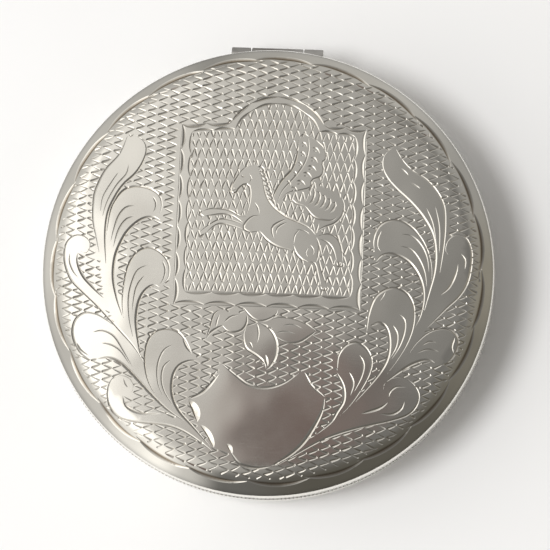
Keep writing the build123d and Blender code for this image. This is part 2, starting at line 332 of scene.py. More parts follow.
def make_turning_tree():
    """Turns (radius, 0, height) points about the Z axis. Points marked "milled" get upright ribs."""
    tree, given, out = new_tree(
        "turned_shell",
        "GeometryNodeTree",
        [
            ("Geometry", "Geometry", None),
            ("Segments", "Int", 180),
            ("Ribs", "Int", 0),
            ("Rib Depth", "Float", 0.0),
            ("Material", "Material", None),
        ],
        [("Geometry", "Geometry")],
    )
    size = tree.nodes.new("GeometryNodeAttributeDomainSize")
    tree.links.new(given.outputs["Geometry"], size.inputs[0])
    count = size.outputs["Point Count"]
    grid = tree.nodes.new("GeometryNodeMeshGrid")
    tree.links.new(math_node(tree, "ADD", given.outputs["Segments"], 1), grid.inputs["Vertices X"])
    tree.links.new(count, grid.inputs["Vertices Y"])
    index = tree.nodes.new("GeometryNodeInputIndex").outputs[0]
    column = math_node(tree, "FLOOR", math_node(tree, "DIVIDE", math_node(tree, "ADD", index, 0.5), count))
    step = math_node(tree, "SUBTRACT", index, math_node(tree, "MULTIPLY", column, count))
    place = sampled(tree, given, "FLOAT_VECTOR", tree.nodes.new("GeometryNodeInputPosition").outputs[0], step)
    mark = tree.nodes.new("GeometryNodeInputNamedAttribute")
    mark.inputs["Name"].default_value = "milled"
    milled = sampled(tree, given, "FLOAT", mark.outputs["Attribute"], step)
    split = split_xyz(tree, place)
    share = math_node(tree, "DIVIDE", column, given.outputs["Segments"])
    wave = math_node(tree, "MULTIPLY", math_node(tree, "MULTIPLY", share, given.outputs["Ribs"]), math.pi)
    hollow = math_node(tree, "SUBTRACT", 1.0, math_node(tree, "ABSOLUTE", math_node(tree, "SINE", wave)))
    dirt_and_shade = math_node(tree, "MULTIPLY", hollow, milled)
    hollow = math_node(tree, "MULTIPLY", dirt_and_shade, given.outputs["Rib Depth"])
    radius = math_node(tree, "SUBTRACT", split["X"], hollow)
    turn = math_node(tree, "MULTIPLY", share, math.tau)
    join = tree.nodes.new("ShaderNodeCombineXYZ")
    tree.links.new(math_node(tree, "MULTIPLY", radius, math_node(tree, "COSINE", turn)), join.inputs["X"])
    tree.links.new(math_node(tree, "MULTIPLY", radius, math_node(tree, "SINE", turn)), join.inputs["Y"])
    tree.links.new(split["Z"], join.inputs["Z"])
    moved = tree.nodes.new("GeometryNodeSetPosition")
    tree.links.new(grid.outputs["Mesh"], moved.inputs["Geometry"])
    tree.links.new(join.outputs[0], moved.inputs["Position"])
    # store how far each point lies in a rib's hollow; the finish darkens it there, partly as grime and partly
    # as painted shade
    marked = tree.nodes.new("GeometryNodeStoreNamedAttribute")
    marked.inputs["Name"].default_value = "hollow"
    tree.links.new(moved.outputs[0], marked.inputs["Geometry"])
    tree.links.new(dirt_and_shade, marked.inputs["Value"])
    weld = tree.nodes.new("GeometryNodeMergeByDistance")
    weld.inputs["Distance"].default_value = WELD
    tree.links.new(marked.outputs[0], weld.inputs["Geometry"])
    finish_tree(tree, given, out, weld.outputs[0])
    return tree


def sampled(tree, given, kind, value, index):
    """Reads a value of the start geometry at an index."""
    node = tree.nodes.new("GeometryNodeSampleIndex")
    node.data_type = kind
    tree.links.new(given.outputs["Geometry"], node.inputs["Geometry"])
    tree.links.new(value, node.inputs["Value"])
    tree.links.new(index, node.inputs["Index"])
    return node.outputs["Value"]


TURNING = make_turning_tree()


def mesh_from_tree(name, start, tree, values):
    """Runs a geometry node tree on a start mesh and returns the resulting plain mesh."""
    holder = in_scene(name + "_start", start)
    modifier = holder.modifiers.new("shape", "NODES")
    modifier.node_group = tree
    for item in tree.interface.items_tree:
        if item.item_type == "SOCKET" and item.in_out == "INPUT" and item.name in values:
            modifier[item.identifier] = values[item.name]
    return shaped_mesh(holder, name)


def mesh_of(name, points, faces=(), edges=()):
    """A plain mesh from points in millimetres."""
    mesh = bpy.data.meshes.new(name)
    mesh.from_pydata([[value * MM for value in point] for point in points], edges, faces)
    return mesh


def turned_mesh(name, profile, material, segments=180, milled=(), ribs=0, rib_depth=0.0):
    """A mesh turned about the Z axis from (radius, height) points, outside on the right of their path."""
    start = mesh_of(name, [(max(radius, 0.0), 0, height) for radius, height in profile])
    mark = start.attributes.new("milled", "FLOAT", "POINT")
    for index in milled:
        mark.data[index].value = 1.0
    values = {"Segments": segments, "Ribs": ribs, "Rib Depth": rib_depth * MM, "Material": material}
    return mesh_from_tree(name, start, TURNING, values)


def smooth(mesh, degrees=30):
    """Smooth shading with sharp edges above an angle."""
    mesh.shade_smooth()
    mesh.set_sharp_from_angle(angle=math.radians(degrees))


def piece(name, mesh, body, nodes):
    """Makes a finished piece from a mesh, riding on a body and standing for CAD nodes."""
    part = in_scene(name, mesh)
    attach(part, body)
    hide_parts(*nodes)
    return part


def arc_points(centre, radius, start, end, count):
    """Points of an arc between two angles in degrees."""
    angles = [math.radians(start + (end - start) * step / count) for step in range(count + 1)]
    return [(centre[0] + radius * math.cos(a), centre[1] + radius * math.sin(a)) for a in angles]


def s_curve(outer, inner, count=10):
    """Points of a smooth step between two levels, level at both ends."""
    steps = [step / count for step in range(count + 1)]
    blend = [t * t * (3 - 2 * t) for t in steps]
    reach, rise = inner[0] - outer[0], inner[1] - outer[1]
    return [(outer[0] + reach * t, outer[1] + rise * b) for t, b in zip(steps, blend)]


# ------------------------------------ the engraving: how a cut is described

cuts = []     # each is (centre points, left half widths, right half widths)
plain = []    # outlines that the wriggle-cut ground keeps out of


def smooth_path(control, spacing):
    """Evenly spaced points on a smooth curve through given points."""
    points = np.array(control, float)
    if len(points) > 2:
        padded = np.vstack([2 * points[0] - points[1], points, 2 * points[-1] - points[-2]])
        t = np.linspace(0, 1, 12, endpoint=False)[:, None]
        spans = []
        for a, b, c, d in zip(padded, padded[1:], padded[2:], padded[3:]):
            cubic = (3 * b - a - 3 * c + d) * t**3
            spans.append(0.5 * (2 * b + (c - a) * t + (2 * a - 5 * b + 4 * c - d) * t**2 + cubic))
        points = np.vstack(spans + [points[-1:]])
    along = np.concatenate([[0], np.cumsum(np.hypot(*np.diff(points, axis=0).T))])
    count = max(4, round(along[-1] / spacing))
    wanted = np.linspace(0, along[-1], count + 1)
    return np.column_stack([np.interp(wanted, along, points[:, 0]), np.interp(wanted, along, points[:, 1])])


def cut(control, width, peak=0.5, lean=0.0, spacing=0.4):
    """One graver cut: pointed ends, widest at `peak`, leaning to the left (+) or right (-) of its path."""
    path = smooth_path(control, spacing)
    along = np.linspace(0, 1, len(path))
    swell = np.sin(math.pi * along ** (math.log(0.5) / math.log(peak))).clip(0) ** 0.62
    swell[0] = swell[-1] = 0
    half = width * BOLD / 2 * swell
    cuts.append((path, half * (1 + lean), half * (1 - lean)))
    return path


def inside(points, outline):
    """Which points lie inside a closed outline."""
    x, y = points[:, 0][:, None], points[:, 1][:, None]
    x0, y0 = outline[:, 0], outline[:, 1]
    x1, y1 = np.roll(x0, -1), np.roll(y0, -1)
    crosses = (y0 > y) != (y1 > y)
    with np.errstate(divide="ignore", invalid="ignore"):
        at = (x1 - x0) * (y - y0) / (y1 - y0) + x0
    return (crosses & (x < at)).sum(axis=1) % 2 == 1


def leaf(outer, inner, veins, width=0.26, inner_width=0.32, vein_width=0.2):
    """An acanthus lobe: outer edge drawn towards its tip, inner edge drawn back from it, and veins."""
    first = cut(outer, width, peak=0.6, lean=0.25)
    second = cut(inner, inner_width, peak=0.4, lean=-0.2)
    plain.append(np.vstack([first, second]))
    for vein in veins:
        cut(vein, vein_width, peak=0.35)


def scalloped(start, end, count, bulge, width=0.3):
    """A row of crescent cuts along a line, each bowed to the left of the direction by `bulge`."""
    start, end = np.array(start, float), np.array(end, float)
    step = (end - start) / count
    side = np.array([-step[1], step[0]]) / np.hypot(*step) * bulge
    for index in range(count):
        a = start + step * (index - 0.04)
        b = start + step * (index + 1.04)
        wander = rng.uniform(-0.04, 0.04)
        points = [a, a + step * 0.3 + side * 0.9, a + step * 0.72 + side * (1 + wander), b]
        cut(points, width * rng.uniform(0.85, 1.15))


# ------------------------------------ the engraving: leaves at the left of the lid

def engrave_left_leaves():
    """The tall leaf, three lobes and outer scrolls at the left, as one run of leaves."""
    tall_left = [
        (-16.5, 15.4), (-17.4, 13.0), (-19.0, 11.0), (-20.0, 8.7), (-20.2, 6.9), (-20.1, 5.0), (-19.6, 3.0),
        (-19.1, 1.0),
    ]
    tall_right = [
        (-15.9, 15.3), (-14.7, 14.5), (-14.3, 13.4), (-14.7, 11.9), (-15.5, 10.6), (-16.7, 9.4), (-17.6, 8.0),
        (-18.4, 6.0), (-18.6, 3.4), (-18.3, -0.3),
    ]
    outer = cut(tall_left, 0.22, lean=0.2)
    cut([(-16.5, 15.4), (-16.2, 15.0), (-15.9, 15.3)], 0.15)
    back = cut(tall_right, 0.25, lean=-0.2)
    plain.append(np.vstack([outer, [(-18.4, -3.9), (-16.1, -6.0)], back[::-1]]))
    cut([(-16.3, 11.7), (-16.5, 10.6), (-17.6, 9.2), (-18.6, 7.2), (-19.1, 5.2)], 0.16, peak=0.35)
    cut([(-17.4, 10.8), (-18.1, 9.7), (-19.1, 7.8), (-19.3, 5.8)], 0.14, peak=0.35)
    leaf(
        [(-18.5, 3.0), (-18.1, 6.1), (-17.5, 7.6), (-16.6, 8.7), (-15.2, 9.1), (-13.6, 8.8), (-12.5, 8.0),
         (-12.2, 6.9), (-12.4, 5.8)],
        [(-12.2, 5.2), (-13.3, 5.6), (-14.6, 5.2), (-15.9, 4.0), (-16.7, 2.6), (-17.3, 0.8), (-17.4, -1.5),
         (-16.9, -3.8), (-16.1, -6.0)],
        [[(-15.3, 6.9), (-16.4, 6.6), (-17.2, 5.5), (-17.7, 3.7), (-17.9, 2.6)],
         [(-15.4, 5.6), (-16.3, 5.2), (-17.1, 3.9), (-17.6, 1.9)],
         [(-13.3, 8.0), (-12.9, 7.3), (-12.9, 6.6), (-13.2, 6.1)]],
    )
    leaf(
        [(-15.9, -6.5), (-16.2, -4.5), (-16.1, -2.2), (-15.7, -0.1), (-14.8, 1.4), (-13.4, 2.0), (-12.0, 1.4),
         (-11.1, 0.2), (-11.0, -1.3), (-11.7, -2.3)],
        [(-12.0, -2.5), (-12.8, -2.3), (-13.7, -3.0), (-14.3, -4.3), (-14.5, -6.3), (-14.2, -8.5),
         (-13.7, -10.8)],
        [[(-13.5, 0.0), (-14.6, -0.6), (-15.2, -2.0), (-15.5, -3.8), (-15.3, -6.2), (-14.7, -8.6)],
         [(-13.8, -1.2), (-14.6, -2.4), (-14.9, -4.0), (-15.0, -5.5)],
         [(-11.8, 0.6), (-11.4, -0.5), (-11.6, -1.6), (-12.0, -2.2)]],
    )
    leaf(
        [(-11.6, -15.2), (-12.8, -13.2), (-13.3, -11.0), (-13.1, -8.9), (-12.3, -7.7), (-11.0, -7.3),
         (-9.8, -7.5), (-8.8, -8.4), (-7.9, -10.0)],
        [(-7.1, -10.7), (-8.3, -10.8), (-9.4, -11.4), (-10.0, -12.6), (-10.0, -14.5), (-9.2, -16.3),
         (-7.4, -18.2), (-5.4, -20.3)],
        [[(-10.2, -9.0), (-11.2, -9.7), (-11.8, -11.3), (-11.7, -13.3), (-11.0, -14.9)],
         [(-10.3, -10.7), (-11.1, -11.5), (-11.3, -12.9), (-10.9, -14.3), (-9.9, -15.8)]],
    )
    cut([(-9.1, -8.0), (-8.6, -9.1), (-8.0, -9.9)], 0.3)
    # the outer scrolls
    scroll = cut(
        [(-21.4, 2.3), (-21.4, 1.6), (-20.9, 1.2), (-20.4, 1.6), (-20.3, 2.5), (-21.0, 3.2), (-22.1, 3.3),
         (-23.0, 2.6), (-23.3, 1.4), (-23.1, -0.2), (-22.3, -1.9), (-20.9, -3.2), (-19.1, -4.8),
         (-16.8, -7.1), (-14.6, -9.4), (-13.1, -11.6)], 0.26, peak=0.6, lean=0.25)
    under = cut([(-21.7, 1.3), (-21.7, 0.2), (-21.0, -1.3), (-19.8, -2.6), (-18.4, -3.9)], 0.3)
    plain.append(np.vstack([scroll[scroll[:, 1] > -5.5][6:], under[::-1]]))
    cut([(-22.6, 1.3), (-22.6, 0.2), (-22.1, -0.9), (-21.5, -1.6)], 0.16)
    leaf(
        [(-16.6, -7.3), (-17.9, -6.4), (-19.2, -5.7), (-20.6, -5.6), (-21.6, -6.4), (-21.9, -7.8),
         (-21.5, -9.2), (-20.7, -10.3), (-19.6, -10.9)],
        [(-18.8, -10.8), (-17.4, -10.6), (-16.0, -11.2), (-14.4, -12.6), (-12.6, -14.4), (-10.6, -16.2),
         (-8.4, -17.6)],
        [[(-19.5, -7.8), (-18.3, -7.6), (-17.0, -8.2), (-15.9, -9.7), (-14.7, -11.6)],
         [(-18.4, -9.0), (-17.2, -9.2), (-16.1, -9.9), (-15.0, -11.4)],
         [(-21.3, -9.0), (-20.8, -9.8), (-19.8, -10.5)]],
        inner_width=0.36,
    )
    low = cut(
        [(-14.9, -14.9), (-14.5, -13.9), (-14.9, -13.0), (-16.0, -12.6), (-17.1, -13.2), (-17.5, -14.6),
         (-17.2, -16.1), (-16.3, -17.2), (-14.8, -17.7), (-12.6, -17.9), (-10.3, -18.1), (-8.5, -18.7),
         (-6.6, -19.8), (-4.9, -21.0)], 0.26, peak=0.6, lean=0.25)
    cut([(-15.7, -12.9), (-15.3, -13.8), (-14.8, -13.9)], 0.16)
    curl = cut([(-15.7, -14.9), (-15.2, -16.1), (-13.6, -16.8), (-11.2, -16.8)], 0.32)
    plain.append(np.vstack([low, [(-8.4, -17.6)], curl[::-1]]))
    plain.append(np.array([
        (-18.5, 1.0), (-18.4, -3.9), (-16.6, -7.3), (-8.4, -17.6), (-4.9, -21.0), (-5.4, -20.3),
        (-7.4, -18.2), (-9.9, -15.8), (-11.6, -15.2), (-13.3, -11.0), (-13.7, -10.8), (-16.1, -6.0),
        (-17.4, -1.5),
    ]))


# ------------------------------------ the engraving: leaves at the right of the lid

def engrave_right_leaves():
    """The same run of leaves at the right, drawn on its own because the two sides differ."""
    tall_left = [
        (14.4, 14.8), (13.6, 14.2), (13.1, 13.4), (13.1, 12.2), (13.7, 11.0), (14.8, 9.8), (16.5, 8.3),
        (18.0, 6.6), (19.1, 4.7), (19.5, 2.5), (19.4, 0.3), (18.9, -1.9), (18.3, -4.4),
    ]
    tall_right = [
        (14.4, 14.8), (15.3, 13.3), (16.5, 12.1), (18.2, 11.1), (19.5, 9.7), (20.3, 8.1), (20.5, 6.0),
        (20.4, 3.6), (20.0, 0.0),
    ]
    inner = cut(tall_left, 0.25, lean=0.2)
    outer = cut(tall_right, 0.24, lean=-0.2)
    plain.append(np.vstack([inner, outer[::-1]]))
    cut([(15.2, 12.3), (16.1, 11.5)], 0.18)
    cut([(16.3, 10.7), (17.5, 10.0)], 0.18)
    cut([(18.3, 7.7), (19.0, 6.1), (19.5, 4.0)], 0.15)
    cut([(19.3, 8.0), (19.8, 5.6), (19.9, 2.6)], 0.15)
    leaf(
        [(12.5, 2.4), (12.3, 3.6), (12.7, 5.1), (13.7, 6.0), (15.2, 6.2), (16.6, 5.5), (17.8, 4.2),
         (18.7, 2.5), (19.1, 0.7), (19.1, -1.2)][::-1],
        [(12.6, 1.2), (13.4, 2.1), (14.7, 2.3), (16.3, 1.6), (17.4, 0.4), (18.1, -1.1), (18.3, -2.7),
         (18.0, -4.6), (17.4, -6.0)],
        [[(15.5, 4.6), (16.7, 4.4), (17.8, 3.4), (18.5, 2.0), (18.8, 0.3)],
         [(15.4, 3.2), (16.6, 2.9), (17.6, 1.8), (18.3, 0.3), (18.6, -1.4)],
         [(13.2, 4.9), (12.8, 4.0), (12.8, 3.0), (13.2, 2.5)]],
    )
    leaf(
        [(11.9, -6.8), (12.1, -4.7), (12.7, -2.9), (13.8, -1.9), (15.1, -1.6), (16.4, -2.2), (17.2, -3.7),
         (17.2, -5.8), (16.6, -7.8), (15.5, -9.8), (14.2, -11.7)][::-1],
        [(12.4, -5.9), (13.5, -5.6), (14.3, -6.4), (14.6, -8.0), (14.4, -9.7), (13.6, -11.3), (12.3, -13.0),
         (10.8, -14.8)],
        [[(15.6, -4.6), (16.2, -5.3), (16.2, -6.6), (15.7, -8.2), (14.8, -9.8)],
         [(14.9, -5.9), (15.4, -6.9), (15.3, -8.3), (14.6, -9.7)]],
    )
    cut([(13.9, -2.1), (13.3, -3.2)], 0.16)
    leaf(
        [(8.7, -11.3), (8.8, -9.6), (9.6, -8.4), (10.8, -8.0), (11.9, -8.6), (12.6, -9.9), (12.4, -11.4),
         (11.6, -13.1), (10.3, -15.1), (8.9, -16.6)][::-1],
        [(8.7, -11.5), (9.5, -13.0), (9.6, -14.6), (8.9, -15.9), (8.2, -17.1), (6.5, -18.6)],
        [[(11.2, -9.4), (11.7, -10.4), (11.5, -11.8),
          (10.7, -13.6)], [(10.1, -11.4), (10.6, -12.6), (10.3, -14.0)]],
    )
    # the outer scrolls
    scroll = cut(
        [(21.3, 2.6), (20.8, 2.6), (20.6, 3.2), (20.9, 4.2), (21.7, 4.8), (22.7, 4.7), (23.4, 3.9),
         (23.7, 2.6), (23.6, 0.9), (23.2, -0.8), (22.3, -2.3), (20.9, -3.7),
         (18.8, -6.0)], 0.25, peak=0.6, lean=-0.25)
    cut([(22.4, 2.7), (22.9, 2.0), (22.9, 0.9)], 0.18)
    cut([(22.1, 1.5), (21.9, 0.4), (21.2, -1.2), (20.2, -2.2)], 0.24)
    plain.append(np.vstack([[(20.4, 3.6)], scroll, [(18.3, -4.4), (20.0, 0.0)]]))
    leaf(
        [(16.7, -9.2), (17.7, -7.7), (19.2, -6.4), (20.9, -6.0), (22.1, -6.6), (22.4, -7.7), (21.9, -9.0),
         (21.1, -9.9), (20.1, -10.2)],
        [(19.8, -9.9), (18.9, -9.6), (17.6, -10.0), (16.1, -10.9), (14.2, -12.4)],
        [[(19.9, -7.6), (19.1, -7.5), (18.3, -8.0)], [(20.2, -8.6), (18.9, -8.4), (17.7, -8.9)],
         [(22.0, -6.9), (21.7, -7.9), (21.9, -8.7)]],
    )
    low = cut(
        [(14.4, -13.8), (14.0, -13.0), (14.5, -12.1), (15.9, -11.7), (17.3, -12.3), (18.1, -13.5),
         (17.9, -14.8), (16.9, -15.9), (15.1, -16.6), (13.2, -17.1), (11.3, -17.6), (9.2, -18.3),
         (7.1, -19.2), (4.4, -20.8), (1.8, -22.4)], 0.26, peak=0.6, lean=-0.25)
    cut([(16.6, -12.8), (15.5, -12.8), (14.8, -13.4), (14.7, -14.0)], 0.22)
    cut([(16.5, -14.4), (16.1, -15.3), (15.1, -15.9), (13.7, -15.9)], 0.26)
    curl = cut([(14.6, -14.6), (13.6, -15.3), (11.6, -16.0)], 0.32)
    plain.append(np.vstack([low[:-6], curl[::-1]]))
    plain.append(np.array([
        (18.0, -4.6), (18.8, -6.0), (16.7, -9.2), (14.2, -12.4), (14.0, -13.0), (14.4, -13.8), (13.6, -15.3),
        (13.2, -17.1), (7.1, -19.2), (1.8, -22.4), (6.5, -18.6), (8.9, -16.6), (10.3, -15.1), (12.3, -13.0),
        (14.2, -11.7), (15.5, -9.8), (17.2, -5.8), (17.4, -6.0),
    ]))


# ------------------------------------ the engraving: shield and sprig below the panel

def engrave_shield():
    """The blank shield, with a ragged left edge cut in broad strokes."""
    top = cut([(-4.6, -10.9), (-2.9, -12.2), (-1.2, -13.3), (0.8, -13.5), (2.7, -12.9), (4.4, -11.7)], 0.3)
    ear = cut([(5.0, -11.6), (5.9, -13.1), (7.4, -14.3)], 0.24)
    right = cut([(7.4, -14.3), (7.2, -15.8), (6.4, -17.6), (5.2, -19.5), (3.6, -21.0),
                 (1.5, -22.3)], 0.42, lean=-0.3)
    bottom = cut([(1.5, -22.3), (-0.2, -22.5), (-2.0, -22.1), (-3.1, -20.8)], 0.34)
    left = cut([(-8.1, -15.1), (-6.4, -14.1), (-4.7, -12.1)], 0.38)
    cut([(-5.9, -12.9), (-4.9, -11.7)], 0.2)
    cut([(-8.1, -15.2), (-7.6, -16.2), (-7.0, -17.6)], 0.7, lean=0.7, spacing=0.25)
    cut([(-6.7, -17.9), (-5.9, -18.9), (-5.0, -20.4)], 0.5, lean=0.7, spacing=0.25)
    cut([(-3.6, -19.9), (-3.0, -20.9)], 0.4, lean=0.7, spacing=0.25)
    notch = [(-4.9, -20.5), (-6.0, -18.8), (-7.0, -17.6), (-7.6, -16.2)]
    plain.append(np.vstack([left, top, ear, right, bottom, notch]))


def engrave_sprig():
    """A bud with three leaves, between the panel and the shield."""
    bud = cut(
        [(-2.2, -4.5), (-1.8, -5.1), (-1.0, -5.8), (-0.1, -6.0), (0.8, -5.7), (1.5, -5.2), (1.7, -4.6)], 0.24
    )
    plain.append(np.vstack([bud, [(0.0, -4.0)]]))
    leaf(
        [(-6.5, -8.4), (-6.1, -7.4), (-5.8, -6.2), (-5.5, -5.3), (-4.9, -4.9)],
        [(-1.8, -5.3), (-1.8, -6.3), (-2.3, -7.1), (-3.2, -7.4), (-4.1, -7.2), (-4.7, -6.5)],
        [[(-5.3, -6.9), (-5.2, -6.1), (-4.9, -5.4)], [(-4.4, -6.3), (-3.6, -5.6), (-2.6, -5.4)]],
        width=0.22, inner_width=0.26,
    )
    cut([(-6.4, -8.3), (-6.0, -7.6), (-5.2, -7.0), (-4.4, -6.6)], 0.28)
    leaf(
        [(-1.8, -6.7), (-2.1, -7.5), (-2.0, -8.6), (-1.6, -9.3), (-0.6, -9.9), (0.3, -10.6), (0.6, -11.4)],
        [(0.6, -11.5), (1.1, -11.0), (1.6, -10.0), (1.7, -8.8), (1.4, -7.7), (0.7, -6.8), (-0.3, -6.3)],
        [[(-0.6, -6.3), (-0.4, -7.4), (-0.5, -8.5)], [(-1.4, -8.4), (-1.0, -9.1)]],
    )
    cut([(0.5, -9.8), (0.6, -10.5), (0.8, -11.1)], 0.4)
    leaf(
        [(0.7, -6.0), (1.8, -5.6), (3.2, -5.6), (4.6, -6.0), (5.5, -6.5), (6.2, -6.9)],
        [(6.2, -6.9), (5.3, -7.6), (4.4, -8.2), (3.4, -8.4), (2.4, -8.2), (1.6, -7.7)],
        [[(1.6, -7.3), (2.6, -7.1), (3.8, -7.3)], [(2.4, -6.4), (3.5, -6.3), (4.6, -6.7)]],
        width=0.22, inner_width=0.26, vein_width=0.15,
    )


# ------------------------------------ the engraving: arched panel with the winged horse

PANEL_ARCH = (0.78, 14.0)


def panel_outline(half_width, bottom, shoulder, arch_radius):
    """The panel's outline: straight sides, flat bottom, and an arch that rises from two shoulders."""
    cx, cy = PANEL_ARCH
    reach = math.degrees(math.acos(min(1.0, (shoulder - cy) / arch_radius)))
    arch = arc_points((cx, cy), arch_radius, 90 - reach, 90 + reach, 16)
    left, right, top = cx - 0.4 - half_width, cx - 0.4 + half_width, shoulder - 0.4
    return np.array([(left, bottom), (right, bottom), (right, top)] + arch + [(left, top)])


def engrave_panel():
    """The panel's two scalloped frames. Returns the inner outline."""
    outer = panel_outline(half_width=10.7, bottom=-4.4, shoulder=17.0, arch_radius=6.15)
    inner = panel_outline(half_width=9.4, bottom=-2.9, shoulder=16.1, arch_radius=5.34)
    plain.append(outer)
    for outline, bow, width in ((outer, -0.32, 0.34), (inner, 0.2, 0.27)):
        low_left, low_right, high_right = outline[0], outline[1], outline[2]
        high_left, arch = outline[-1], outline[3:-1]
        for a, b, count in ((low_left, low_right, 6), (low_right, high_right, 7), (high_left, low_left, 7)):
            scalloped(a, b, count, -bow, width)
            cut([a, (np.array(a) + b) / 2, b], 0.14, spacing=1.5)
        scalloped(high_right, arch[0], 2, -bow, width)
        scalloped(arch[-1], high_left, 2, -bow, width)
        for first, last in ((0, 4), (4, 8), (8, 12), (12, 16)):
            a, b = arch[first], arch[last]
            middle = arch[(first + last) // 2] - np.array(PANEL_ARCH)
            cut([a, np.array(PANEL_ARCH) + middle * (1 + bow * 0.03), b], width)
        cut(arch, 0.11, spacing=0.8)
    return inner


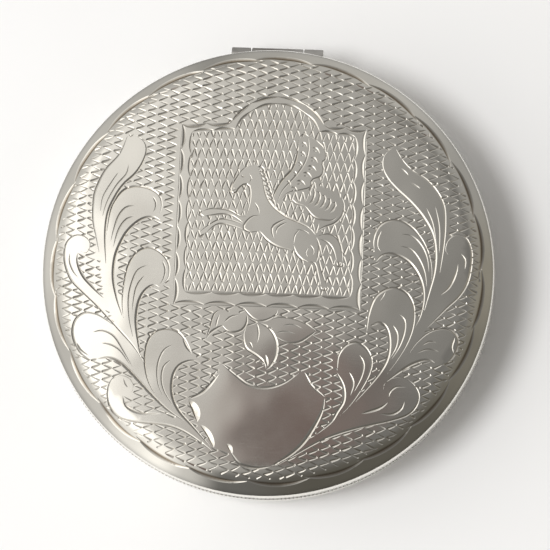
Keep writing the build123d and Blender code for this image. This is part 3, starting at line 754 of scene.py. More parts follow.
def engrave_horse():
    """A winged horse that rears to the left. Returns the outlines that the panel's ground avoids."""
    crest = cut(
        [(-1.35, 11.75), (-0.85, 10.9), (-0.6, 9.9), (-0.35, 8.8), (0.1, 7.8), (0.9, 6.9), (2.2, 6.0),
         (3.6, 5.4), (4.9, 4.8), (5.7, 4.0)], 0.26, lean=0.3)
    face = cut(
        [(-1.75, 11.8), (-2.5, 11.75), (-3.15, 11.2), (-3.65, 10.4), (-4.15, 9.5), (-4.35, 8.95),
         (-4.1, 8.55), (-3.65, 8.65), (-3.35, 9.15), (-2.85, 9.6), (-2.3, 9.6), (-2.05, 9.0), (-2.0, 8.0),
         (-2.15, 6.9), (-2.4, 5.9)], 0.24)
    cut([(-1.8, 11.75), (-1.75, 12.5), (-1.35, 11.8)], 0.2, spacing=0.2)
    cut([(-2.25, 11.75), (-2.3, 12.35), (-1.95, 11.8)], 0.16, spacing=0.2)
    cut([(-3.15, 10.75), (-2.95, 10.55), (-2.7, 10.65)], 0.22, spacing=0.15)
    cut([(-4.05, 9.2), (-3.9, 9.05)], 0.14, spacing=0.1)
    cut([(-4.15, 8.75), (-3.8, 8.95), (-3.6, 9.05)], 0.1, spacing=0.15)
    cut([(-2.25, 10.9), (-1.95, 10.3), (-2.25, 9.75)], 0.14)
    mane = []
    for step in range(8):
        share = step / 7
        x, y = -1.35 + 1.35 * share, 11.75 - 3.75 * share
        curl = [(x, y), (x + 0.55, y - 0.05), (x + 0.85, y - 0.55), (x + 0.8, y - 0.95)]
        lock = cut(curl, 0.24, peak=0.35, spacing=0.25)
        cut([(x + 0.05, y - 0.25), (x + 0.4, y - 0.35), (x + 0.55, y - 0.7)], 0.14, peak=0.35, spacing=0.25)
        mane.append(lock[2])
    fore_top = cut([(-2.3, 5.9), (-3.0, 5.9), (-4.2, 6.5), (-5.2, 6.7), (-6.4, 6.7), (-7.4, 6.4)], 0.2)
    fore_low = cut([(-7.2, 5.8), (-5.3, 6.1), (-4.1, 6.0), (-2.7, 5.2)], 0.2)
    cut([(-7.4, 6.4), (-7.8, 6.0), (-7.2, 5.8)], 0.26, spacing=0.2)
    second_top = cut([(-2.7, 5.0), (-4.0, 5.4), (-5.3, 5.5), (-6.6, 4.8), (-7.7, 3.9)], 0.2)
    second_low = cut([(-7.0, 3.8), (-6.0, 4.7), (-5.2, 5.0), (-4.0, 4.8), (-2.6, 4.4)], 0.2)
    cut([(-7.7, 3.9), (-7.6, 3.4), (-7.0, 3.8)], 0.26, spacing=0.2)
    cut([(-0.8, 6.1), (-1.7, 5.9), (-2.4, 5.2), (-2.6, 4.5), (-1.7, 4.1), (-0.7, 4.3)], 0.22)
    belly = cut([(-0.8, 4.3), (0.2, 3.2), (1.5, 2.5), (3.1, 2.2)], 0.26)
    haunch = cut([(3.2, 2.8), (3.5, 1.9), (4.2, 1.2), (5.0, 0.9)], 0.24)
    shin_front = cut([(5.0, 0.9), (5.7, 0.8), (6.1, -0.5), (6.5, -1.8)], 0.2)
    shin_back = cut([(6.0, 2.2), (6.2, 1.0), (6.6, -0.3), (7.2, -1.8)], 0.2)
    cut([(6.5, -1.8), (6.6, -2.2), (7.3, -2.2), (7.2, -1.8)], 0.26, spacing=0.25)
    far_top = cut([(5.8, 3.9), (7.1, 4.2), (8.0, 3.9), (8.6, 2.9), (8.9, 1.0)], 0.22)
    far_low = cut([(6.1, 3.6), (7.0, 3.3), (7.7, 2.5), (8.2, 1.1)], 0.2)
    cut([(8.2, 1.1), (8.3, 0.6), (9.0, 0.6), (8.9, 1.0)], 0.24, spacing=0.25)
    cut([(5.8, 3.8), (6.1, 2.8), (6.0, 1.5), (5.8, 0.8)], 0.22)
    cut([(2.3, 5.8), (1.3, 5.3), (0.7, 4.8), (0.65, 4.2), (0.95, 3.4)], 0.24)
    cut([(2.4, 5.4), (1.6, 5.0), (1.15, 4.5), (1.15, 3.9)], 0.2)
    cut([(3.9, 4.7), (3.3, 3.9), (3.2, 2.9)], 0.16)
    cut([(4.9, 2.6), (4.6, 1.9), (4.9, 1.5)], 0.12)
    cut([(-1.5, 7.6), (-1.05, 6.9), (-0.9, 6.2)], 0.16)
    cut([(3.4, 4.6), (4.3, 4.5), (5.0, 4.1)], 0.12)
    cut([(5.1, 2.9), (5.5, 2.3), (5.5, 1.7)], 0.14)
    # the near wing
    lead = cut([(0.8, 7.4), (0.7, 8.4), (1.5, 10.1), (2.7, 11.6), (3.2, 13.2), (3.3, 15.3)], 0.26, lean=0.3)
    cut([(1.1, 7.6), (1.7, 9.1), (3.1, 10.8), (4.1, 12.4), (4.5, 13.9), (4.4, 15.5)], 0.2)
    feathers = cut(
        [(4.5, 15.5), (5.3, 15.1), (6.3, 14.1), (6.5, 13.0), (6.1, 12.5), (6.3, 11.7), (6.0, 10.9),
         (5.0, 10.4), (4.9, 9.6), (3.8, 9.2), (2.3, 8.8), (1.4, 7.8)], 0.22)
    cut([(3.3, 15.3), (3.8, 15.8), (4.5, 15.5)], 0.2)
    for a, b in (
        ((4.9, 14.2), (5.7, 13.7)), ((4.7, 13.0), (5.5, 12.6)), ((4.4, 12.0), (5.4, 11.6)),
        ((3.9, 11.2), (4.9, 10.8)), ((3.2, 10.2), (4.2, 9.9)), ((2.6, 9.4), (3.3, 9.2)),
        ((3.5, 13.6), (4.1, 13.2)), ((3.3, 12.4), (3.8, 12.0)), ((2.8, 11.2), (3.2, 10.9)),
        ((2.1, 10.1), (2.5, 9.8)), ((3.6, 14.7), (4.2, 14.4)),
    ):
        bend = ((a[0] + b[0]) / 2 + 0.05, (a[1] + b[1]) / 2 + 0.2)
        cut([a, bend, (b[0] + 0.1, b[1] - 0.15)], 0.24, peak=0.4, spacing=0.25)
        cut([(a[0] + 0.1, a[1] - 0.35), (bend[0] + 0.05, bend[1] - 0.35)], 0.14, peak=0.4)
    # the far wing
    cut([(2.7, 8.2), (3.3, 7.6), (4.3, 7.4)], 0.2)
    cut([(4.3, 7.4), (5.2, 6.3), (6.0, 5.9), (7.4, 5.8), (8.1, 6.3)], 0.22)
    for index in range(5):
        x, y = 4.7 + 0.62 * index, 7.5 - 0.22 * index
        tip = (x + 0.2, y + 2.05 - 0.2 * index)
        cut([(x, y), (x + 0.55, y + 0.75), (x + 0.65, y + 1.75 - 0.12 * index), tip], 0.24)
        cut([(x + 0.2, y + 0.1), (x + 0.5, y + 0.5), (x + 0.62, y + 0.95)], 0.16)
    tail = cut([(5.7, 4.4), (6.6, 5.0), (7.8, 5.5), (8.6, 6.4), (8.8, 7.6), (8.5, 8.6)], 0.24)
    body = np.vstack([
        [(-1.8, 12.4)], crest[:1], mane, [(0.75, 7.4)], crest[crest[:, 0] > 0.9], [(6.1, 3.6)], [(6.0, 2.2)],
        shin_back, shin_front[::-1], haunch[::-1], belly[::-1], second_low[::-1], second_top[::-1],
        fore_low[::-1], fore_top[::-1], face[::-1],
    ])
    far_leg = np.vstack([far_top, far_low[::-1]])
    wing = np.vstack([lead, feathers])
    far_wing = np.array([
        (2.7, 8.2), (4.3, 7.4), (5.2, 9.0), (5.8, 9.6), (7.0, 9.4), (8.0, 8.6), (8.9, 7.8), (8.8, 6.8),
        (8.4, 6.0), (6.6, 5.2), (6.0, 5.6), (5.2, 6.3),
    ])
    return [body, far_leg, wing, far_wing, np.vstack([tail, [(6.2, 5.2)]])]


# ------------------------------------ the engraving: wriggle-cut grounds and the border

DRAWING_SIZE = np.array([0.983, 0.994])   # the drawing is laid on the lid a touch smaller than it was made
DRAWING_SHIFT = np.array([-0.2, -0.5])    # and a little low of the middle
GROUND_RADIUS = 24.05                     # the ground ends here and the border begins
HEAVY_STROKE, LIGHT_STROKE = 0.33, 0.29   # widths of the ground's alternate strokes
BORDER_CRESCENTS = 23
BORDER_OVERLAP = 1.12
BORDER_RADII = (24.06, 24.36, 24.5, 24.46, 24.22)   # of one crescent, from its start to its end
BORDER_DROP = 0.15                        # how far the border sits towards the front


def open_run(barred):
    """The longest run of samples that aren't barred, as first and last index, or None."""
    best, start = None, None
    for index, closed in enumerate(list(barred) + [True]):
        if not closed and start is None:
            start = index
        elif closed and start is not None:
            if best is None or index - start > best[1] - best[0] + 1:
                best = (start, index - 1)
            start = None
    return best


def wriggle(lines, allowed):
    """Cuts zigzag lines as separate tapered strokes, dropping what falls where the ground isn't allowed."""
    starts, ends = [], []
    for line in lines:
        starts += line[:-1]
        ends += line[1:]
    starts, ends = np.array(starts), np.array(ends)
    steps = np.linspace(0, 1, 9)
    points = starts[:, None] + (ends - starts)[:, None] * steps[:, None]
    barred = ~allowed(points.reshape(-1, 2)).reshape(len(starts), len(steps))
    for index, (a, b) in enumerate(zip(starts, ends)):
        run = open_run(barred[index])
        if run is None or run[1] - run[0] < 3:
            continue
        p, q = a + (b - a) * steps[run[0]], a + (b - a) * steps[run[1]]
        width = (LIGHT_STROKE if index % 2 else HEAVY_STROKE) * rng.uniform(0.7, 1.22)
        reach = 0.05 / max(np.hypot(*(q - p)), 0.05)
        path = np.array([p - (q - p) * reach, p + (q - p) * 0.12, p + (q - p) * 0.72, q + (q - p) * reach])
        half = width / 2 * np.array([0, 1, 0.66, 0])
        cuts.append((path, half, half))


def zigzag(origin, along, across, tooth, depth, first, last, flip, jitter):
    """A hand-cut zigzag line: teeth of one size, with small errors in every tip."""
    line = []
    for step in range(first, last):
        side = depth if (step + flip) % 2 else -depth
        forward = step * tooth + rng.uniform(-jitter, jitter)
        sideways = side + rng.uniform(-jitter, jitter)
        line.append(tuple(origin + along * forward + across * sideways))
    return line


def engrave_grounds(inner_panel, figures):
    """Zigzag grounds: upright lines round the leaves, level ones in the panel."""
    outlines = list(plain)
    right, up = np.array([1.0, 0.0]), np.array([0.0, 1.0])

    def outside_leaves(points):
        placed = points * DRAWING_SIZE + DRAWING_SHIFT
        free = np.hypot(placed[:, 0], placed[:, 1]) < GROUND_RADIUS
        for outline in outlines:
            free[free] &= ~inside(points[free], outline)
        return free

    def in_panel(points):
        free = inside(points, inner_panel)
        for outline in figures:
            free[free] &= ~inside(points[free], outline)
        return free

    columns, pitch = [], 1.26
    for column in range(-20, 21):
        origin = np.array([column * pitch, 0.0])
        line = zigzag(
            origin, up, right, tooth=0.44, depth=pitch * 0.46, first=-58, last=59, flip=column, jitter=0.08
        )
        columns.append([p for p in line if math.hypot(*p) < 25.6])
    wriggle([line for line in columns if len(line) > 1], outside_leaves)
    rows, pitch = [], 1.2
    for row in range(20):
        origin = np.array([0.6, -2.4 + row * pitch])
        rows.append(zigzag(
            origin, right, up, tooth=0.42, depth=pitch * 0.48, first=-24, last=25, flip=row, jitter=0.06
        ))
    wriggle(rows, in_panel)


def place_drawing():
    """Lays the whole drawing on the lid."""
    cuts[:] = [(path * DRAWING_SIZE + DRAWING_SHIFT, left, right) for path, left, right in cuts]


def engrave_border():
    """Overlapping long crescents round the edge of the engraving."""
    span = math.tau / BORDER_CRESCENTS * BORDER_OVERLAP
    for index in range(BORDER_CRESCENTS):
        start = math.tau * index / BORDER_CRESCENTS + rng.uniform(-0.015, 0.015)
        points = []
        for step, radius in enumerate(BORDER_RADII):
            angle = start + span * step / (len(BORDER_RADII) - 1)
            radius += rng.uniform(-0.03, 0.03)
            points.append((radius * math.cos(angle), radius * math.sin(angle) - BORDER_DROP))
        cut(points, 0.5, peak=0.45, lean=0.2)


# ------------------------------------ the lid cover: a dome with its engraving cut in

# the dome's unevenness, as wavelengths and heights
SWAYS = ((19.0, 0.012), (13.0, 0.008), (9.0, 0.006), (6.5, 0.004), (4.5, 0.0026), (3.2, 0.0014))
SWAY_RADIUS, SWAY_FADE = 24.0, 4.0   # it ends at this radius, and fades over this width
GRID_CELL = 0.5
SHALLOWEST = 0.004                   # anything shallower is left uncut
CUT_WALL = 0.006                     # a face deeper than this at its middle is the wall of a cut
DARK_DEPTH = 0.07                    # the depth at which a cut has its full dirt and painted shade
BORDER_DIRT_AND_SHADE = 2.2                    # how far past that the deeper border's dirt and painted shade go
FILL_SPACING, FILL_RADIUS = 0.65, 22.6
FILL_RINGS = (22.9, 23.4, 23.8, 24.15, 24.45, 24.72, 24.93)


def sway(x, y):
    """How far hand finishing has left the dome below its true form, with its slopes in x and y."""
    source = np.random.default_rng(11)
    height = np.zeros_like(x)
    slope_x, slope_y = np.zeros_like(x), np.zeros_like(x)
    for wavelength, size in SWAYS:
        for _ in range(3):
            turn, phase = source.uniform(0, math.tau, 2)
            kx, ky = math.tau / wavelength * math.cos(turn), math.tau / wavelength * math.sin(turn)
            wave = kx * x + ky * y + phase
            height -= size * (1 + np.sin(wave))
            slope_x -= size * kx * np.cos(wave)
            slope_y -= size * ky * np.cos(wave)
    return height, slope_x, slope_y


def cover_form(x, y):
    """Height and outward normal of the lid's outside above plan points."""
    radius = np.hypot(x, y)
    on_dome = radius <= MEET_RADIUS
    dome = np.sqrt(DOME_RADIUS**2 - np.minimum(radius, MEET_RADIUS) ** 2)
    out = np.clip(radius - SHOULDER_AXIS_RADIUS, 0, LID_SHOULDER)
    bend = np.sqrt(np.maximum(LID_SHOULDER**2 - out**2, 1e-9))
    z = np.where(on_dome, DOME_CENTRE + dome, SHOULDER_Z + bend)
    slope = np.where(on_dome, radius / dome, out / bend)
    safe = np.maximum(radius, 1e-6)
    fade = np.clip((SWAY_RADIUS - radius) / SWAY_FADE, 0, 1)
    height, slope_x, slope_y = sway(x, y)
    normal = np.column_stack([
        slope * x / safe - slope_x * fade, slope * y / safe - slope_y * fade, np.ones_like(x),
    ])
    normal /= np.linalg.norm(normal, axis=1)[:, None]
    return z + height * fade, normal


def segment_grid():
    """The cuts' short spans, gathered by the grid cells that they touch."""
    spans = []
    for path, left, right in cuts:
        for i in range(len(path) - 1):
            spans.append((*path[i], *path[i + 1], left[i], left[i + 1], right[i], right[i + 1]))
    spans = np.array(spans)
    reach = spans[:, 4:].max(axis=1) + 0.01
    low = np.floor((np.minimum(spans[:, :2], spans[:, 2:4]) - reach[:, None]) / GRID_CELL).astype(int)
    high = np.floor((np.maximum(spans[:, :2], spans[:, 2:4]) + reach[:, None]) / GRID_CELL).astype(int)
    grid = {}
    for index, (a, b) in enumerate(zip(low, high)):
        for gx in range(a[0], b[0] + 1):
            for gy in range(a[1], b[1] + 1):
                grid.setdefault((gx, gy), []).append(index)
    return spans, grid


def cut_depth(points, spans, grid):
    """Depth of the deepest cut at each plan point."""
    depth = np.zeros(len(points))
    home = np.floor(points / GRID_CELL).astype(int)
    order = np.lexsort((home[:, 1], home[:, 0]))
    breaks = np.flatnonzero(np.any(np.diff(home[order], axis=0), axis=1)) + 1
    for group in np.split(order, breaks):
        found = grid.get(tuple(home[group[0]]))
        if not found:
            continue
        s = spans[found]
        along = s[:, 2:4] - s[:, :2]
        length = np.maximum((along**2).sum(axis=1), 1e-12)
        away = points[group][:, None] - s[:, :2]
        t = np.clip((away * along).sum(axis=2) / length, 0, 1)
        gap = away - t[..., None] * along
        turn = along[:, 0] * gap[..., 1] - along[:, 1] * gap[..., 0]
        left = s[:, 4] + (s[:, 5] - s[:, 4]) * t
        right = s[:, 6] + (s[:, 7] - s[:, 6]) * t
        half = np.where(turn > 0, left, right)
        share = 1 - np.hypot(gap[..., 0], gap[..., 1]) / np.maximum(half, 1e-9)
        depth[group] = np.maximum(0, share * GRAVER_SLOPE * (left + right) / 2).max(axis=1)
    return depth


def ring_points(radius, shift):
    """Plan points evenly round a circle, turned by a share of one step."""
    angles = [math.tau * (i + shift) / LID_SEGMENTS for i in range(LID_SEGMENTS)]
    return [(radius * math.cos(a), radius * math.sin(a)) for a in angles]


def plan_points():
    """Every point and joining line of the engraved mesh, in plan."""
    points, lines = [], []

    def chain(path, first=None, last=None):
        ids = []
        for index, point in enumerate(path):
            if index == 0 and first is not None:
                ids.append(first)
            elif index == len(path) - 1 and last is not None:
                ids.append(last)
            else:
                ids.append(len(points))
                points.append(tuple(point))
        lines.extend(zip(ids, ids[1:]))
        return ids

    for path, left, right in cuts:
        along = np.gradient(path, axis=0)
        normal = np.column_stack([-along[:, 1], along[:, 0]]) / np.hypot(*along.T)[:, None]
        middle = chain(path)
        chain(path + normal * left[:, None], middle[0], middle[-1])
        chain(path - normal * right[:, None], middle[0], middle[-1])
    ids = chain(ring_points(ENGRAVED_RADIUS, 0.0))
    lines.append((ids[-1], ids[0]))
    for number, radius in enumerate(FILL_RINGS):
        points.extend(ring_points(radius, 0.5 * (number % 2)))
    for row in range(-40, 41):
        for column in range(-40, 41):
            x, y = (column + 0.5 * (row % 2)) * FILL_SPACING, row * FILL_SPACING * 0.866
            if math.hypot(x, y) < FILL_RADIUS:
                points.append((x, y))
    return points, lines


def cover_profile():
    """The turned rest of the lid, from the engraved mesh's edge down the wall and back up the inside."""
    shoulder, inner_wall = (SHOULDER_AXIS_RADIUS, SHOULDER_Z), WALL_RADIUS - SHEET
    start = math.degrees(math.acos((ENGRAVED_RADIUS - SHOULDER_AXIS_RADIUS) / LID_SHOULDER))
    meet = math.degrees(MEET_ANGLE)
    profile = arc_points(shoulder, LID_SHOULDER, start, 0, 14)[1:]
    profile += [(WALL_RADIUS, LID_RIM_TOP), (inner_wall, LID_RIM_TOP), (inner_wall, SHOULDER_Z)]
    profile += arc_points(shoulder, LID_SHOULDER - SHEET, 0, meet, 12)[1:]
    return profile + arc_points((0, DOME_CENTRE), DOME_RADIUS - SHEET, meet, 90, 24)[1:-1]


def make_lid_cover():
    """The pressed and engraved lid: the cut dome, joined to the turned shoulder, wall and inside."""
    points, lines = plan_points()
    found = delaunay_2d_cdt([Vector(p) for p in points], lines, [], 0, 1e-4, False)
    flat = np.array(found[0])
    faces = np.array([face for face in found[2] if len(face) == 3])
    spans, grid = segment_grid()
    depth = cut_depth(flat, spans, grid)
    depth[depth < SHALLOWEST] = 0
    face_cut = cut_depth(flat[faces].mean(axis=1), spans, grid) > CUT_WALL
    z, normal = cover_form(flat[:, 0], flat[:, 1])
    top = np.column_stack([flat, z]) - normal * depth[:, None]

    # the turned rest of the lid shares the outer circle of the engraved mesh
    edge = np.flatnonzero(np.hypot(*flat.T) > ENGRAVED_RADIUS - 0.002)
    edge = edge[np.argsort(np.arctan2(flat[edge, 1], flat[edge, 0]))]
    turns = np.arctan2(flat[edge, 1], flat[edge, 0])
    rings, count = [edge], len(edge)
    extra = []
    for radius, height in cover_profile():
        rings.append(np.arange(count) + len(top) + len(extra) * count)
        around = (radius * np.cos(turns), radius * np.sin(turns), np.full(count, height))
        extra.append(np.column_stack(around))
    vertices = np.vstack([top] + extra + [[[0, 0, LID_TOP - SHEET]]])
    quads = []
    for upper, lower in zip(rings, rings[1:]):
        quads.append(np.column_stack([upper, lower, np.roll(lower, -1), np.roll(upper, -1)]))
    pole = np.full(count, len(vertices) - 1)
    cap = np.column_stack([rings[-1], pole, np.roll(rings[-1], -1)])
    mesh = bpy.data.meshes.new("lid_cover_engraved")
    all_faces = faces.tolist() + np.vstack(quads).tolist() + cap.tolist()
    mesh.from_pydata((vertices * MM).tolist(), [], all_faces)
    shade = mesh.attributes.new("cut_depth", "FLOAT", "POINT")
    values = np.zeros(len(vertices), np.float32)
    # how dark each point is painted for its cut: partly dirt, partly painted shade, the border deeper
    most = np.where(np.hypot(*flat.T) > GROUND_RADIUS, BORDER_DIRT_AND_SHADE, 1.0)
    values[: len(depth)] = np.clip(depth / DARK_DEPTH, 0, most)
    shade.data.foreach_set("value", values)
    smooth(mesh, 20)

    corners = np.empty(len(mesh.loops) * 3, np.float32)
    mesh.corner_normals.foreach_get("vector", corners)
    corners = corners.reshape(-1, 3)
    corner_vertex = np.empty(len(mesh.loops), np.int32)
    mesh.loops.foreach_get("vertex_index", corner_vertex)
    on_surface = np.zeros(len(mesh.loops), bool)
    on_surface[: 3 * len(faces)] = np.repeat(~face_cut, 3)
    first_ring = np.isin(corner_vertex, edge)
    corners[on_surface] = normal[corner_vertex[on_surface]]
    corners[first_ring] = normal[corner_vertex[first_ring]]
    mesh.normals_split_custom_set(corners)
    mesh.materials.append(engraved_silver)
    return mesh


# ------------------------------------ turned pieces

def make_base_pan():
    """The spun base, with a shallow recess underneath."""
    shoulder = (WALL_RADIUS - BASE_SHOULDER, BASE_SHOULDER)
    inner_wall = WALL_RADIUS - SHEET
    profile = [(0, RECESS_DEPTH), (6, RECESS_DEPTH), (12, RECESS_DEPTH)]
    profile += s_curve((RECESS_RADIUS, RECESS_DEPTH), (FOOT_INNER, 0.0))
    profile += arc_points(shoulder, BASE_SHOULDER, -90, 0, 18)
    profile += [(WALL_RADIUS, BASE_RIM_BOTTOM), (inner_wall, BASE_RIM_BOTTOM)]
    profile += arc_points(shoulder, BASE_SHOULDER - SHEET, 0, -90, 14)
    profile += s_curve((FOOT_INNER, SHEET), (RECESS_RADIUS, RECESS_DEPTH + SHEET))
    profile += [(10, RECESS_DEPTH + SHEET), (0, RECESS_DEPTH + SHEET)]
    return turned_mesh("base_pan_spun", profile, plain_silver, 300)


def rim_profile(inner, outer, far, near):
    """A rim ring's section, from its far edge (rounded) to its seam edge (bevelled)."""
    away = 1 if near > far else -1
    edge, bevel = 0.25, 0.12
    rounded = arc_points((outer - edge, far + away * edge), edge, -away * 90, 0, 7)
    outside = [(outer, near - away * bevel), (outer - bevel * 0.35, near - away * bevel * 0.35)]
    loop = [(inner, far)] + rounded + outside + [(outer - bevel, near), (inner, near), (inner, far)]
    return loop if away > 0 else loop[::-1]


def knuckle_seat(radius, low_x, high_x):
    """A bar along the hinge axis, used to cut a knuckle's seat."""
    profile = [(0, low_x), (radius, low_x), (radius, high_x), (0, high_x)]
    return along_hinge(turned_mesh("seat", profile, None, 96))


def along_hinge(mesh):
    """Moves a mesh that was turned about Z so that it lies along the hinge axis."""
    turn = Matrix.Rotation(math.pi / 2, 4, "Y")
    mesh.transform(Matrix.Translation((0, HINGE_Y * MM, HINGE_Z * MM)) @ turn)
    return mesh


def carve(mesh, cutters, name):
    """Cuts solid meshes out of another one."""
    body = in_scene(name + "_blank", mesh)
    tools = [in_scene("cutter", cutter) for cutter in cutters]
    for tool in tools:
        modifier = body.modifiers.new("cut", "BOOLEAN")
        modifier.solver = "EXACT"
        modifier.object = tool
    result = shaped_mesh(body, name)
    for tool in tools:
        bpy.data.objects.remove(tool)
    return result


def knuckle_seats(centre_clearance, outer_clearance):
    """The three seats along the hinge, wider where a knuckle has to move against the rim."""
    middle = LEFT_HIGH[0]
    end = LEFT_LOW[0] - 0.1
    return [
        knuckle_seat(KNUCKLE_RADIUS + centre_clearance, middle, -middle),
        knuckle_seat(KNUCKLE_RADIUS + outer_clearance, end, middle + 0.001),
        knuckle_seat(KNUCKLE_RADIUS + outer_clearance, -middle - 0.001, -end),
    ]


LID_RIM_INNER = 25.15
LID_RIM_SETBACK = 0.08         # the lid's rim is this much smaller than the milled one below it
MILLED_RIBS, RIB_SEGMENTS, RIB_DEPTH = 360, 6, 0.15
MILLED_BAND = 0.06             # ribs reach the points this close to the rim's outside


def make_lid_rim():
    """The plain rim of the lid, with its seats for the knuckles."""
    profile = rim_profile(LID_RIM_INNER, RIM_RADIUS - LID_RIM_SETBACK, LID_RIM_TOP, LID_RIM_BOTTOM)
    ring = turned_mesh("lid_rim_blank", profile, rim_silver_shaded, 420)
    return carve(ring, knuckle_seats(0.0, GROOVE_CLEARANCE), "lid_rim_turned")


def make_base_rim():
    """The milled rim of the base, with its seats for the knuckles."""
    profile = rim_profile(WALL_RADIUS - SHEET, RIM_RADIUS, BASE_RIM_BOTTOM, BASE_RIM_TOP)
    milled = [index for index, point in enumerate(profile) if point[0] > RIM_RADIUS - MILLED_BAND]
    segments = MILLED_RIBS * RIB_SEGMENTS
    ring = turned_mesh("base_rim_blank", profile, milled_silver_grime_and_shade, segments, milled, MILLED_RIBS, RIB_DEPTH)
    return carve(ring, knuckle_seats(GROOVE_CLEARANCE, 0.0), "base_rim_milled")


def make_collar():
    """The collar that the lid closes over, cut open at the back for the hinge."""
    low, high = node_mm("base_collar")
    outer = high[0]
    inner, filed, step = outer - 0.6, outer - 0.15, BASE_RIM_TOP
    lead = 0.15
    profile = [
        (inner, low[2]), (outer, low[2]), (outer, step), (filed, step), (filed, high[2] - lead),
        (filed - lead * 0.3, high[2] - lead * 0.3), (filed - lead, high[2]), (inner + 0.06, high[2]),
        (inner, high[2] - 0.06), (inner, low[2]),
    ]
    ring = turned_mesh("collar_blank", profile, gilt, 360)
    half, floor = 5.6, node_mm("base_hinge_bearer")[0][2]
    corners = [(x, y, z) for x in (-half, half) for y in (15, 27) for z in (floor, 11)]
    opening = mesh_of(
        "collar_opening", corners,
        [(0, 1, 3, 2), (4, 6, 7, 5), (0, 4, 5, 1), (2, 3, 7, 6), (0, 2, 6, 4), (1, 5, 7, 3)],
    )
    return carve(ring, [opening], "locating_collar")


def make_liner():
    """The gilt dish inside the base."""
    outer, sheet, corner_radius = LINER_HIGH[0], 0.4, 3.0
    bottom, top = LINER_LOW[2], HINGE_Z - 0.4
    corner = (outer - corner_radius, bottom + corner_radius)
    profile = [(0, bottom), (10, bottom)] + arc_points(corner, corner_radius, -90, 0, 14)
    profile += arc_points((outer - sheet / 2, top), sheet / 2, 0, 180, 8)
    profile += arc_points(corner, corner_radius - sheet, 0, -90, 14)
    profile += [(10, bottom + sheet), (0, bottom + sheet)]
    return turned_mesh("gilt_liner", profile, gilt, 300)


def make_lid_lining():
    """The gilt sheet inside the lid."""
    low, high, sheet, dome_radius = LINING_LOW, LINING_HIGH, 0.35, 150.0
    centre = high[2] - sheet - dome_radius
    step_outer, step_inner = 24.2, 22.0
    step_top = centre + math.sqrt(dome_radius**2 - step_inner**2)
    meet = math.degrees(math.atan2(step_top - centre, step_inner))
    under = arc_points((0, centre), dome_radius, 90, meet, 14)
    under += s_curve((step_inner, step_top), (step_outer, low[2]))[1:] + [(high[0], low[2])]
    over = [(radius, height + sheet) for radius, height in reversed(under)]
    return turned_mesh("gilt_lid_lining", under + over, gilt, 300)


def make_retainer():
    """The ring that holds the lid's lining."""
    low, high = RETAINER_LOW, RETAINER_HIGH
    outer, inner, ease = 25.1, 24.5, 0.07
    profile = [
        (inner + ease, low[2]), (outer - ease, low[2]), (outer, low[2] + ease), (outer, high[2] - ease),
        (outer - ease, high[2]), (inner + ease, high[2]), (inner, high[2] - ease), (inner, low[2] + ease),
        (inner + ease, low[2]),
    ]
    return turned_mesh("lining_ring", profile, gilt, 300)


# ------------------------------------ the hinge

def make_knuckle(name, low_x, high_x, bore):
    """One tube of the hinge, its ends eased."""
    ease = 0.08
    outside = arc_points((KNUCKLE_RADIUS - ease, low_x + ease), ease, -90, 0, 4)
    outside += arc_points((KNUCKLE_RADIUS - ease, high_x - ease), ease, 0, 90, 4)
    profile = [(bore, low_x)] + outside + [(bore, high_x), (bore, low_x)]
    return along_hinge(turned_mesh(name, profile, hinge_silver_shaded, 96))


def make_rod(name, low_x, high_x, material, ease):
    """A round rod along the hinge with eased ends."""
    profile = [(0, low_x)] + arc_points((PIN_RADIUS - ease, low_x + ease), ease, -90, 0, 4)
    profile += arc_points((PIN_RADIUS - ease, high_x - ease), ease, 0, 90, 4) + [(0, high_x)]
    return along_hinge(turned_mesh(name, profile, material, 64))


def eased_copy(node, name, material):
    """A copy of a CAD node's mesh with its doubles merged and its sharp edges bevelled."""
    work = bmesh.new()
    work.from_mesh(frame["nodes"][node].data)
    bmesh.ops.remove_doubles(work, verts=work.verts, dist=WELD)
    bmesh.ops.dissolve_limit(work, angle_limit=math.radians(1), verts=work.verts, edges=work.edges)
    mesh = bpy.data.meshes.new(name + "_blank")
    work.to_mesh(mesh)
    work.free()
    holder = in_scene(name, mesh)
    bevel = holder.modifiers.new("ease", "BEVEL")
    bevel.width = 0.04 * MM
    bevel.segments = 2
    bevel.limit_method = "ANGLE"
    bevel.angle_limit = math.radians(50)
    result = shaped_mesh(holder, name)
    result.materials.clear()
    result.materials.append(material)
    return result


# ------------------------------------ putting the box together

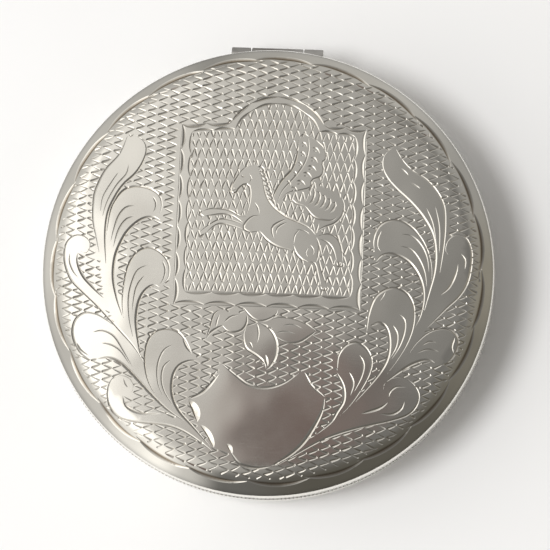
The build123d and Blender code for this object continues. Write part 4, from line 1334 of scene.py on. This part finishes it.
def build_box():
    """Engraves the lid, then makes every piece and sets it on its body."""
    engrave_left_leaves()
    engrave_right_leaves()
    engrave_shield()
    engrave_sprig()
    inner_panel = engrave_panel()
    figures = engrave_horse()
    engrave_grounds(inner_panel, figures)
    place_drawing()
    engrave_border()
    piece("lid_cover_engraved", make_lid_cover(), "lid", ["lid_cover"])
    turned = [
        ("lid_rim_turned", make_lid_rim(), "lid", "lid_rim", "plain_silver"),
        ("base_rim_milled", make_base_rim(), "base", "base_milled_rim", "plain_silver"),
        ("base_pan_spun", make_base_pan(), "base", "base_pan", "plain_silver"),
        ("locating_collar", make_collar(), "base", "base_collar", "gilt"),
        ("gilt_liner", make_liner(), "base", "base_liner", "gilt"),
        ("gilt_lid_lining", make_lid_lining(), "lid", "lid_lining", "gilt"),
        ("lining_ring", make_retainer(), "lid", "lining_retainer", "gilt"),
    ]
    middle, inner_end, outer_end = CENTRE_HIGH[0], LEFT_HIGH[0], LEFT_LOW[0]
    pin_end = node_mm("hinge_pin")[1][0]
    running, eased = 0.03, 0.04
    loose = PIN_RADIUS + running
    for name, low_x, high_x, bore, body, node in (
        ("knuckle_middle", eased - middle, middle - eased, loose, "lid", "hinge_knuckle_centre"),
        ("knuckle_left", outer_end, inner_end - eased, PIN_RADIUS, "base", "hinge_knuckle_left"),
        ("knuckle_right", eased - inner_end, -outer_end, PIN_RADIUS, "base", "hinge_knuckle_right"),
    ):
        turned.append((name, make_knuckle(name, low_x, high_x, bore), body, node, "plain_silver"))
    for name, low_x, high_x, material, ease, node, slot in (
        ("pin", -pin_end, pin_end, pin_metal, 0.04, "hinge_pin", "pin_metal"),
        ("plug_left", -PLUG_END, -pin_end, plain_silver, 0.1, "pin_plug_left", "plain_silver"),
        ("plug_right", pin_end, PLUG_END, plain_silver, 0.1, "pin_plug_right", "plain_silver"),
    ):
        turned.append((name, make_rod(name, low_x, high_x, material, ease), "base", node, slot))
    for name, mesh, body, node, slot in turned:
        smooth(mesh, 30)
        piece(name, mesh, body, [node])
    for name, node, body in (
        ("bearer_lid", "lid_hinge_bearer", "lid"),
        ("bearer_base", "base_hinge_bearer", "base"),
    ):
        mesh = eased_copy(node, name, plain_silver)
        smooth(mesh, 30)
        piece(name, mesh, body, [node])


# ------------------------------------ camera, floor and light

def place_camera():
    """Looks down on the closed box from a little in front."""
    azimuth, elevation, distance = math.radians(13), math.radians(80.8), 0.30
    target = Vector((0.00082, -0.0005, 0.010))
    back = Vector((
        math.cos(elevation) * math.sin(azimuth), -math.cos(elevation) * math.cos(azimuth), math.sin(elevation)
    ))
    roll = math.radians(2.3)
    right = Vector((-math.sin(roll), math.cos(roll), 0)).cross(back).normalized()
    up = back.cross(right)
    camera = bpy.data.cameras.new("camera")
    camera.sensor_width = 36
    camera.lens = 172
    camera.clip_start = 0.01
    view = in_scene("camera", camera)
    facing = Matrix((right, up, back)).transposed().to_4x4()
    view.matrix_world = Matrix.Translation(target + back * distance) @ facing
    bpy.context.scene.camera = view


def make_floor():
    """A wide matt floor, very slightly uneven in tone."""
    material, tree, shader = new_material("pale_floor")
    shader.inputs["Roughness"].default_value = 0.9
    shader.inputs["Specular IOR Level"].default_value = 0.1
    tint = ramp_between(tree, noise_node(tree, object_mm(tree), 0.02, 3.0), 0.3, 0.7, 0.90, 0.92)
    tree.links.new(tint, shader.inputs["Base Color"])
    size = 1500
    corners = [(-size, -size, 0), (size, -size, 0), (size, size, 0), (-size, size, 0)]
    mesh = mesh_of("floor", corners, [(0, 1, 2, 3)])
    mesh.materials.append(material)
    floor = in_scene("floor", mesh)


def soft_light(name, position, target, size, power, color):
    """A round soft light that faces a point. Polished metal mirrors the surroundings only, not this light."""
    data = bpy.data.lights.new(name, "AREA")
    data.shape = "DISK"
    data.size = size
    data.energy = power
    data.color = color
    light = in_scene(name, data)
    light.location = position
    light.rotation_euler = (Vector(target) - Vector(position)).to_track_quat("-Z", "Y").to_euler()
    light.visible_glossy = False


def toward(tree, direction, aim, sharpness):
    """A soft mask round one direction of the surroundings."""
    dot = tree.nodes.new("ShaderNodeVectorMath")
    dot.operation = "DOT_PRODUCT"
    tree.links.new(direction, dot.inputs[0])
    dot.inputs[1].default_value = Vector(aim).normalized()
    return math_node(tree, "POWER", math_node(tree, "MAXIMUM", dot.outputs["Value"], 0.0), sharpness)


def patch(tree, direction, across, away, inner, outer):
    """A round patch of the sky: how far it lies from straight up and where its edge is, in degrees."""
    across, away = math.tan(math.radians(across)), math.tan(math.radians(away))
    near = toward(tree, direction, (across, away, 1.0), 1.0)
    return ramp_between(tree, near, math.cos(math.radians(outer)), math.cos(math.radians(inner)))


def make_surroundings():
    """The soft surroundings that the silver mirrors: bright at the left and behind, dim elsewhere."""
    world = bpy.data.worlds.new("studio")
    bpy.context.scene.world = world
    world.use_nodes = True
    tree = world.node_tree
    direction = tree.nodes.new("ShaderNodeTexCoord").outputs["Generated"]
    split = split_xyz(tree, direction)
    across = math_node(tree, "MULTIPLY", split["X"], -1.9)
    away = math_node(tree, "MULTIPLY", split["Y"], 0.5)
    level = math_node(tree, "EXPONENT", math_node(tree, "ADD", math_node(tree, "ADD", across, away), -0.88))
    masks = [
        (toward(tree, direction, (0.15, -1.0, 0.25), 2.0), 0.65),
        (toward(tree, direction, (1.0, -0.2, 0.2), 2.0), 0.3),
        (toward(tree, direction, (0.1, 1.0, 0.15), 3.0), 0.5),
        (toward(tree, direction, (-0.75, 0.1, 0.65), 12.0), 0.2),
        (patch(tree, direction, 6, -10, 8, 14), 0.34),
        (patch(tree, direction, -47, 1, 5, 15), 0.25),
        (patch(tree, direction, 0.5, -8.2, 2.2, 4.6), 0.38),
        (patch(tree, direction, -3, -13.5, 1.6, 3.4), 0.25),
        (patch(tree, direction, -2, -0.8, 1.8, 4.6), 0.3),
    ]
    for mask, dimming in masks:
        mask = math_node(tree, "MULTIPLY", mask, dimming)
        level = math_node(tree, "MULTIPLY", level, math_node(tree, "SUBTRACT", 1.0, mask))
    level = math_node(tree, "MAXIMUM", math_node(tree, "MINIMUM", level, 0.82), 0.17)
    lights = [
        (toward(tree, direction, (-0.62, -0.55, 0.55), 11.0), 0.8),
        (toward(tree, direction, (1.0, 0.1, 0.28), 8.0), 0.12),
        (patch(tree, direction, -50, -4, 31, 36), 0.48),
        (patch(tree, direction, -48, 2, 5, 17), -0.26),
    ]
    for mask, strength in lights:
        level = math_node(tree, "ADD", level, math_node(tree, "MULTIPLY", mask, strength))
    background = tree.nodes["Background"]
    tint = tree.nodes.new("ShaderNodeMix")
    tint.data_type = "RGBA"
    tint.inputs["A"].default_value = (1.0, 0.98, 0.95, 1)
    tint.inputs["B"].default_value = (1.0, 0.78, 0.73, 1)
    tree.links.new(toward(tree, direction, (0.04, -0.13, 1.0), 120.0), tint.inputs["Factor"])
    tree.links.new(tint.outputs["Result"], background.inputs["Color"])
    tree.links.new(level, background.inputs["Strength"])


# how brightly the wall round the box glows, the light and shade that the silver mirrors, by angle from +X
# towards +Y in degrees
WALL_LEVELS = [
    (-180, 0.60), (-158, 0.48), (-140, 0.55), (-128, 0.80), (-119, 1.0), (-110, 0.55), (-100, 0.13),
    (-75, 0.09), (-45, 0.10), (-20, 0.17), (0, 0.25), (30, 0.30), (60, 0.44), (80, 0.40), (95, 0.36),
    (107, 0.27), (120, 0.40), (150, 0.50), (180, 0.60),
]
WALL_TOP = 27.0


def make_wall():
    """A low wall round the box that glows, seen only in polished metal: its glow is the light and shade
    mirrored there, pale at the left, dark in front and dimmer towards its foot.
    """
    material, tree, shader = new_material("glowing_tent_wall")
    shader.inputs["Base Color"].default_value = (0, 0, 0, 1)
    shader.inputs["Specular IOR Level"].default_value = 0.0
    shader.inputs["Emission Strength"].default_value = 1.1
    place = object_mm(tree)
    turn = tree.nodes.new("ShaderNodeTexGradient")
    turn.gradient_type = "RADIAL"
    tree.links.new(place, turn.inputs["Vector"])
    ramp = tree.nodes.new("ShaderNodeValToRGB")
    ramp.color_ramp.interpolation = "EASE"
    stops = ramp.color_ramp.elements
    stops.remove(stops[1])
    for index, (angle, level) in enumerate(WALL_LEVELS):
        stop = stops[0] if index == 0 else stops.new(angle / 360 + 0.5)
        stop.position = angle / 360 + 0.5
        warm = 1.0 if -80 < angle < 20 else 0.0
        stop.color = (level, level * (0.985 - 0.04 * warm), level * (0.955 - 0.14 * warm), 1)
    tree.links.new(turn.outputs["Fac"], ramp.inputs["Fac"])
    height = split_xyz(tree, place)["Z"]
    low_part = tree.nodes.new("ShaderNodeVectorMath")
    low_part.operation = "SCALE"
    tree.links.new(ramp.outputs["Color"], low_part.inputs[0])
    tree.links.new(ramp_between(tree, height, 1.0, 9.0, 0.62, 1.0), low_part.inputs["Scale"])
    tree.links.new(low_part.outputs[0], shader.inputs["Emission Color"])
    tree.links.new(ramp_between(tree, height, 15.0, WALL_TOP, 1.0, 0.0), shader.inputs["Alpha"])
    radius, count = 31.0, 120
    flare = 1.08
    points = []
    for step in range(count):
        angle = math.tau * step / count
        foot = 2.4 + 1.8 * math.cos(angle)
        x, y = radius * math.cos(angle), radius * math.sin(angle)
        points += [(x, y, foot), (x * flare, y * flare, WALL_TOP)]
    total = 2 * count
    faces = [(2 * i, (2 * i + 2) % total, (2 * i + 3) % total, 2 * i + 1) for i in range(count)]
    mesh = mesh_of("glowing_tent_wall", points, faces)
    mesh.materials.append(material)
    wall = in_scene("glowing_tent_wall", mesh)
    wall.visible_camera = wall.visible_diffuse = wall.visible_shadow = False


place_camera()
make_floor()
make_surroundings()
make_wall()
soft_light("window", (-0.178, -0.05, 0.42), (0, 0, 0), 0.15, 1.03, (1.0, 1.0, 1.0))
soft_light("fill", (0.3, -0.12, 0.33), (0, 0, 0), 0.3, 0.105, (1.0, 0.94, 0.84))
bpy.context.scene.view_settings.view_transform = "Standard"
build_box()
